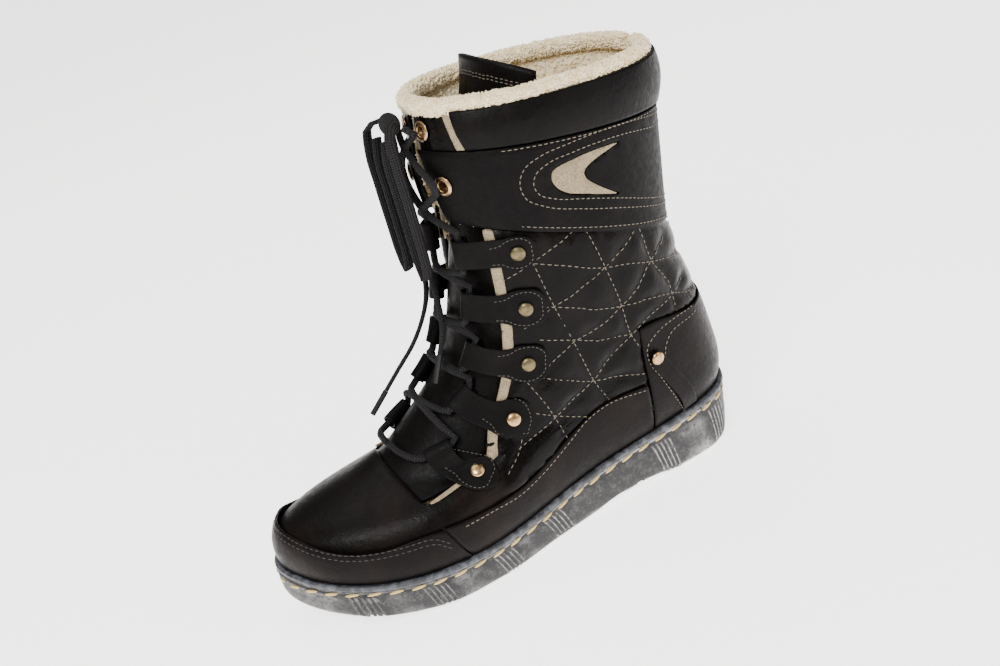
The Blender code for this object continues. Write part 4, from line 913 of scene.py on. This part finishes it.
# %% Fleece
def tuft_group():
    group, given, result = new_group(
        "tuft", ("Density", "NodeSocketFloat", 300000.0), ("Size", "NodeSocketFloat", 0.002),
        ("Seed", "NodeSocketInt", 4), ("Material", "NodeSocketMaterial", None))
    points = step(group, "GeometryNodeDistributePointsOnFaces", {
        "Mesh": given.outputs["Geometry"], "Density": given.outputs["Density"], "Seed": given.outputs["Seed"]})
    lock = step(group, "GeometryNodeMeshIcoSphere", {"Radius": 1.0, "Subdivisions": 1})
    turn = step(group, "FunctionNodeRandomValue", {0: (-0.9, -0.9, 0.0), 1: (0.9, 0.9, 6.28),
                                                   "Seed": given.outputs["Seed"]}, data_type="FLOAT_VECTOR")
    leaned = step(group, "FunctionNodeRotateRotation", {"Rotation": points.outputs["Rotation"],
                                                        "Rotate By": turn.outputs[0]}, rotation_space="LOCAL")
    share = step(group, "FunctionNodeRandomValue", {2: 0.55, 3: 1.25, "Seed": given.outputs["Seed"]},
                 data_type="FLOAT")
    large = step(group, "ShaderNodeMath", {0: share.outputs[1], 1: given.outputs["Size"]}, operation="MULTIPLY")
    thin = step(group, "ShaderNodeMath", {0: large.outputs[0], 1: 0.5}, operation="MULTIPLY")
    size = step(group, "ShaderNodeCombineXYZ", {"X": thin.outputs[0], "Y": thin.outputs[0],
                                                "Z": large.outputs[0]})
    spread = step(group, "GeometryNodeInstanceOnPoints", {
        "Points": points.outputs["Points"], "Instance": lock.outputs[0], "Rotation": leaned.outputs[0],
        "Scale": size.outputs[0]})
    real = step(group, "GeometryNodeRealizeInstances", {"Geometry": spread.outputs[0]})
    soft = step(group, "GeometryNodeSetShadeSmooth", {"Geometry": real.outputs[0]})
    done = step(group, "GeometryNodeSetMaterial", {"Geometry": soft.outputs[0],
                                                   "Material": given.outputs["Material"]})
    group.links.new(done.outputs[0], result.inputs["Geometry"])
    return group


TUFT = tuft_group()


def chosen_faces(name, piece, test):
    """A source object with the faces of a piece that pass a test of place and normal."""
    mesh = piece.data
    faces = []
    for polygon in mesh.polygons:
        if test(unplace(polygon.center[:])[0], polygon.normal, polygon):
            faces.append(tuple(polygon.vertices))
    used = sorted({v for face in faces for v in face})
    index = {v: k for k, v in enumerate(used)}
    part = bpy.data.meshes.new(name)
    part.from_pydata([mesh.vertices[v].co[:] for v in used], [], [tuple(index[v] for v in f) for f in faces])
    return link(name, part, smooth=False)


rim = edge_ring("upper", True, 85.0, 120)
collar_top = edge_ring("collar_band", True, 85.0, 120)
for spot in rim:
    beside = np.linalg.norm(collar_top[:, :2] - spot[:2], axis=1)
    if beside.min() < 9.0:
        spot[2] = max(spot[2], collar_top[beside.argmin(), 2])
gap = np.linalg.norm(np.diff(np.concatenate((rim, rim[:1])), axis=0), axis=1)
turned = np.roll(rim, -(int(np.argmax(gap)) + 1), axis=0)
inwards = np.array((0.0, 85.0, 0.0)) - turned * (1, 1, 0)
inwards /= np.linalg.norm(inwards, axis=1, keepdims=True)
roll_path, roll_length = smooth_route(turned + inwards * 1.2 + (0.0, 0.0, 1.2), 160)
roll = band("fleece_roll", place(roll_path), 7.6, 7.6, (0.0, 0.0, 1.0), 14)
work = bmesh.new()
work.from_mesh(roll.data)
bmesh.ops.recalc_face_normals(work, faces=work.faces)
work.to_mesh(roll.data)
work.free()
roll.data.materials.append(FLEECE)
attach(roll, "root")


def is_lining(spot, normal, polygon):
    return spot[2] > 150 and polygon.material_index == 1


grown("fleece_tufts", chosen_faces("roll_faces", roll, lambda spot, normal, polygon: True), TUFT, FLEECE, "fleece",
      Density=900000.0, Size=1.5 * MM, Seed=4)
grown("fleece_lining", chosen_faces("lining_faces", upper, is_lining), TUFT, FLEECE, "fleece", Density=200000.0,
      Size=1.6 * MM, Seed=9)
print("Grew the fleece on a roll of", round(roll_length), "mm")

# %% [markdown]
# The boot stands on a plain pale floor under soft studio lights.

# %% Stage
floor_mesh = bpy.data.meshes.new("floor")
reach = 12.0
floor_mesh.from_pydata([(-reach, -reach, 0), (reach, -reach, 0), (reach, reach, 0), (-reach, reach, 0)], [],
                       [(0, 1, 2, 3)])
paper = Material("floor_paper", Base_Color=(0.86, 0.845, 0.835), Roughness=0.9)
paper.set("Emission Color", (1.0, 0.965, 0.955))
paper.shader.inputs["Emission Strength"].default_value = 2.6
floor_mesh.materials.append(paper.data)
floor = link("floor", floor_mesh, smooth=False)
world = bpy.data.worlds.new("studio")
bpy.context.scene.world = world
world.use_nodes = True
world.node_tree.nodes["Background"].inputs["Color"].default_value = (0.93, 0.92, 0.92, 1.0)
world.node_tree.nodes["Background"].inputs["Strength"].default_value = 0.36


def area_light(name, spot, aim, size, power):
    """A square soft light at a place, turned to another, both in metres."""
    data = bpy.data.lights.new(name, "AREA")
    data.size = size
    data.energy = power
    lamp = bpy.data.objects.new(name, data)
    lamp.location = spot
    lamp.rotation_euler = (Vector(spot) - Vector(aim)).to_track_quat("Z", "Y").to_euler()
    bpy.context.scene.collection.objects.link(lamp)


area_light("key", (0.9, -0.9, 1.3), (0.0, -0.08, 0.1), 0.7, 34.0)
area_light("fill", (1.1, 0.8, 0.9), (0.0, -0.05, 0.12), 1.0, 9.0)
area_light("top", (-0.4, -0.2, 1.6), (0.0, -0.08, 0.1), 1.2, 14.0)
print("Lit with", len(bpy.data.lights), "lights")
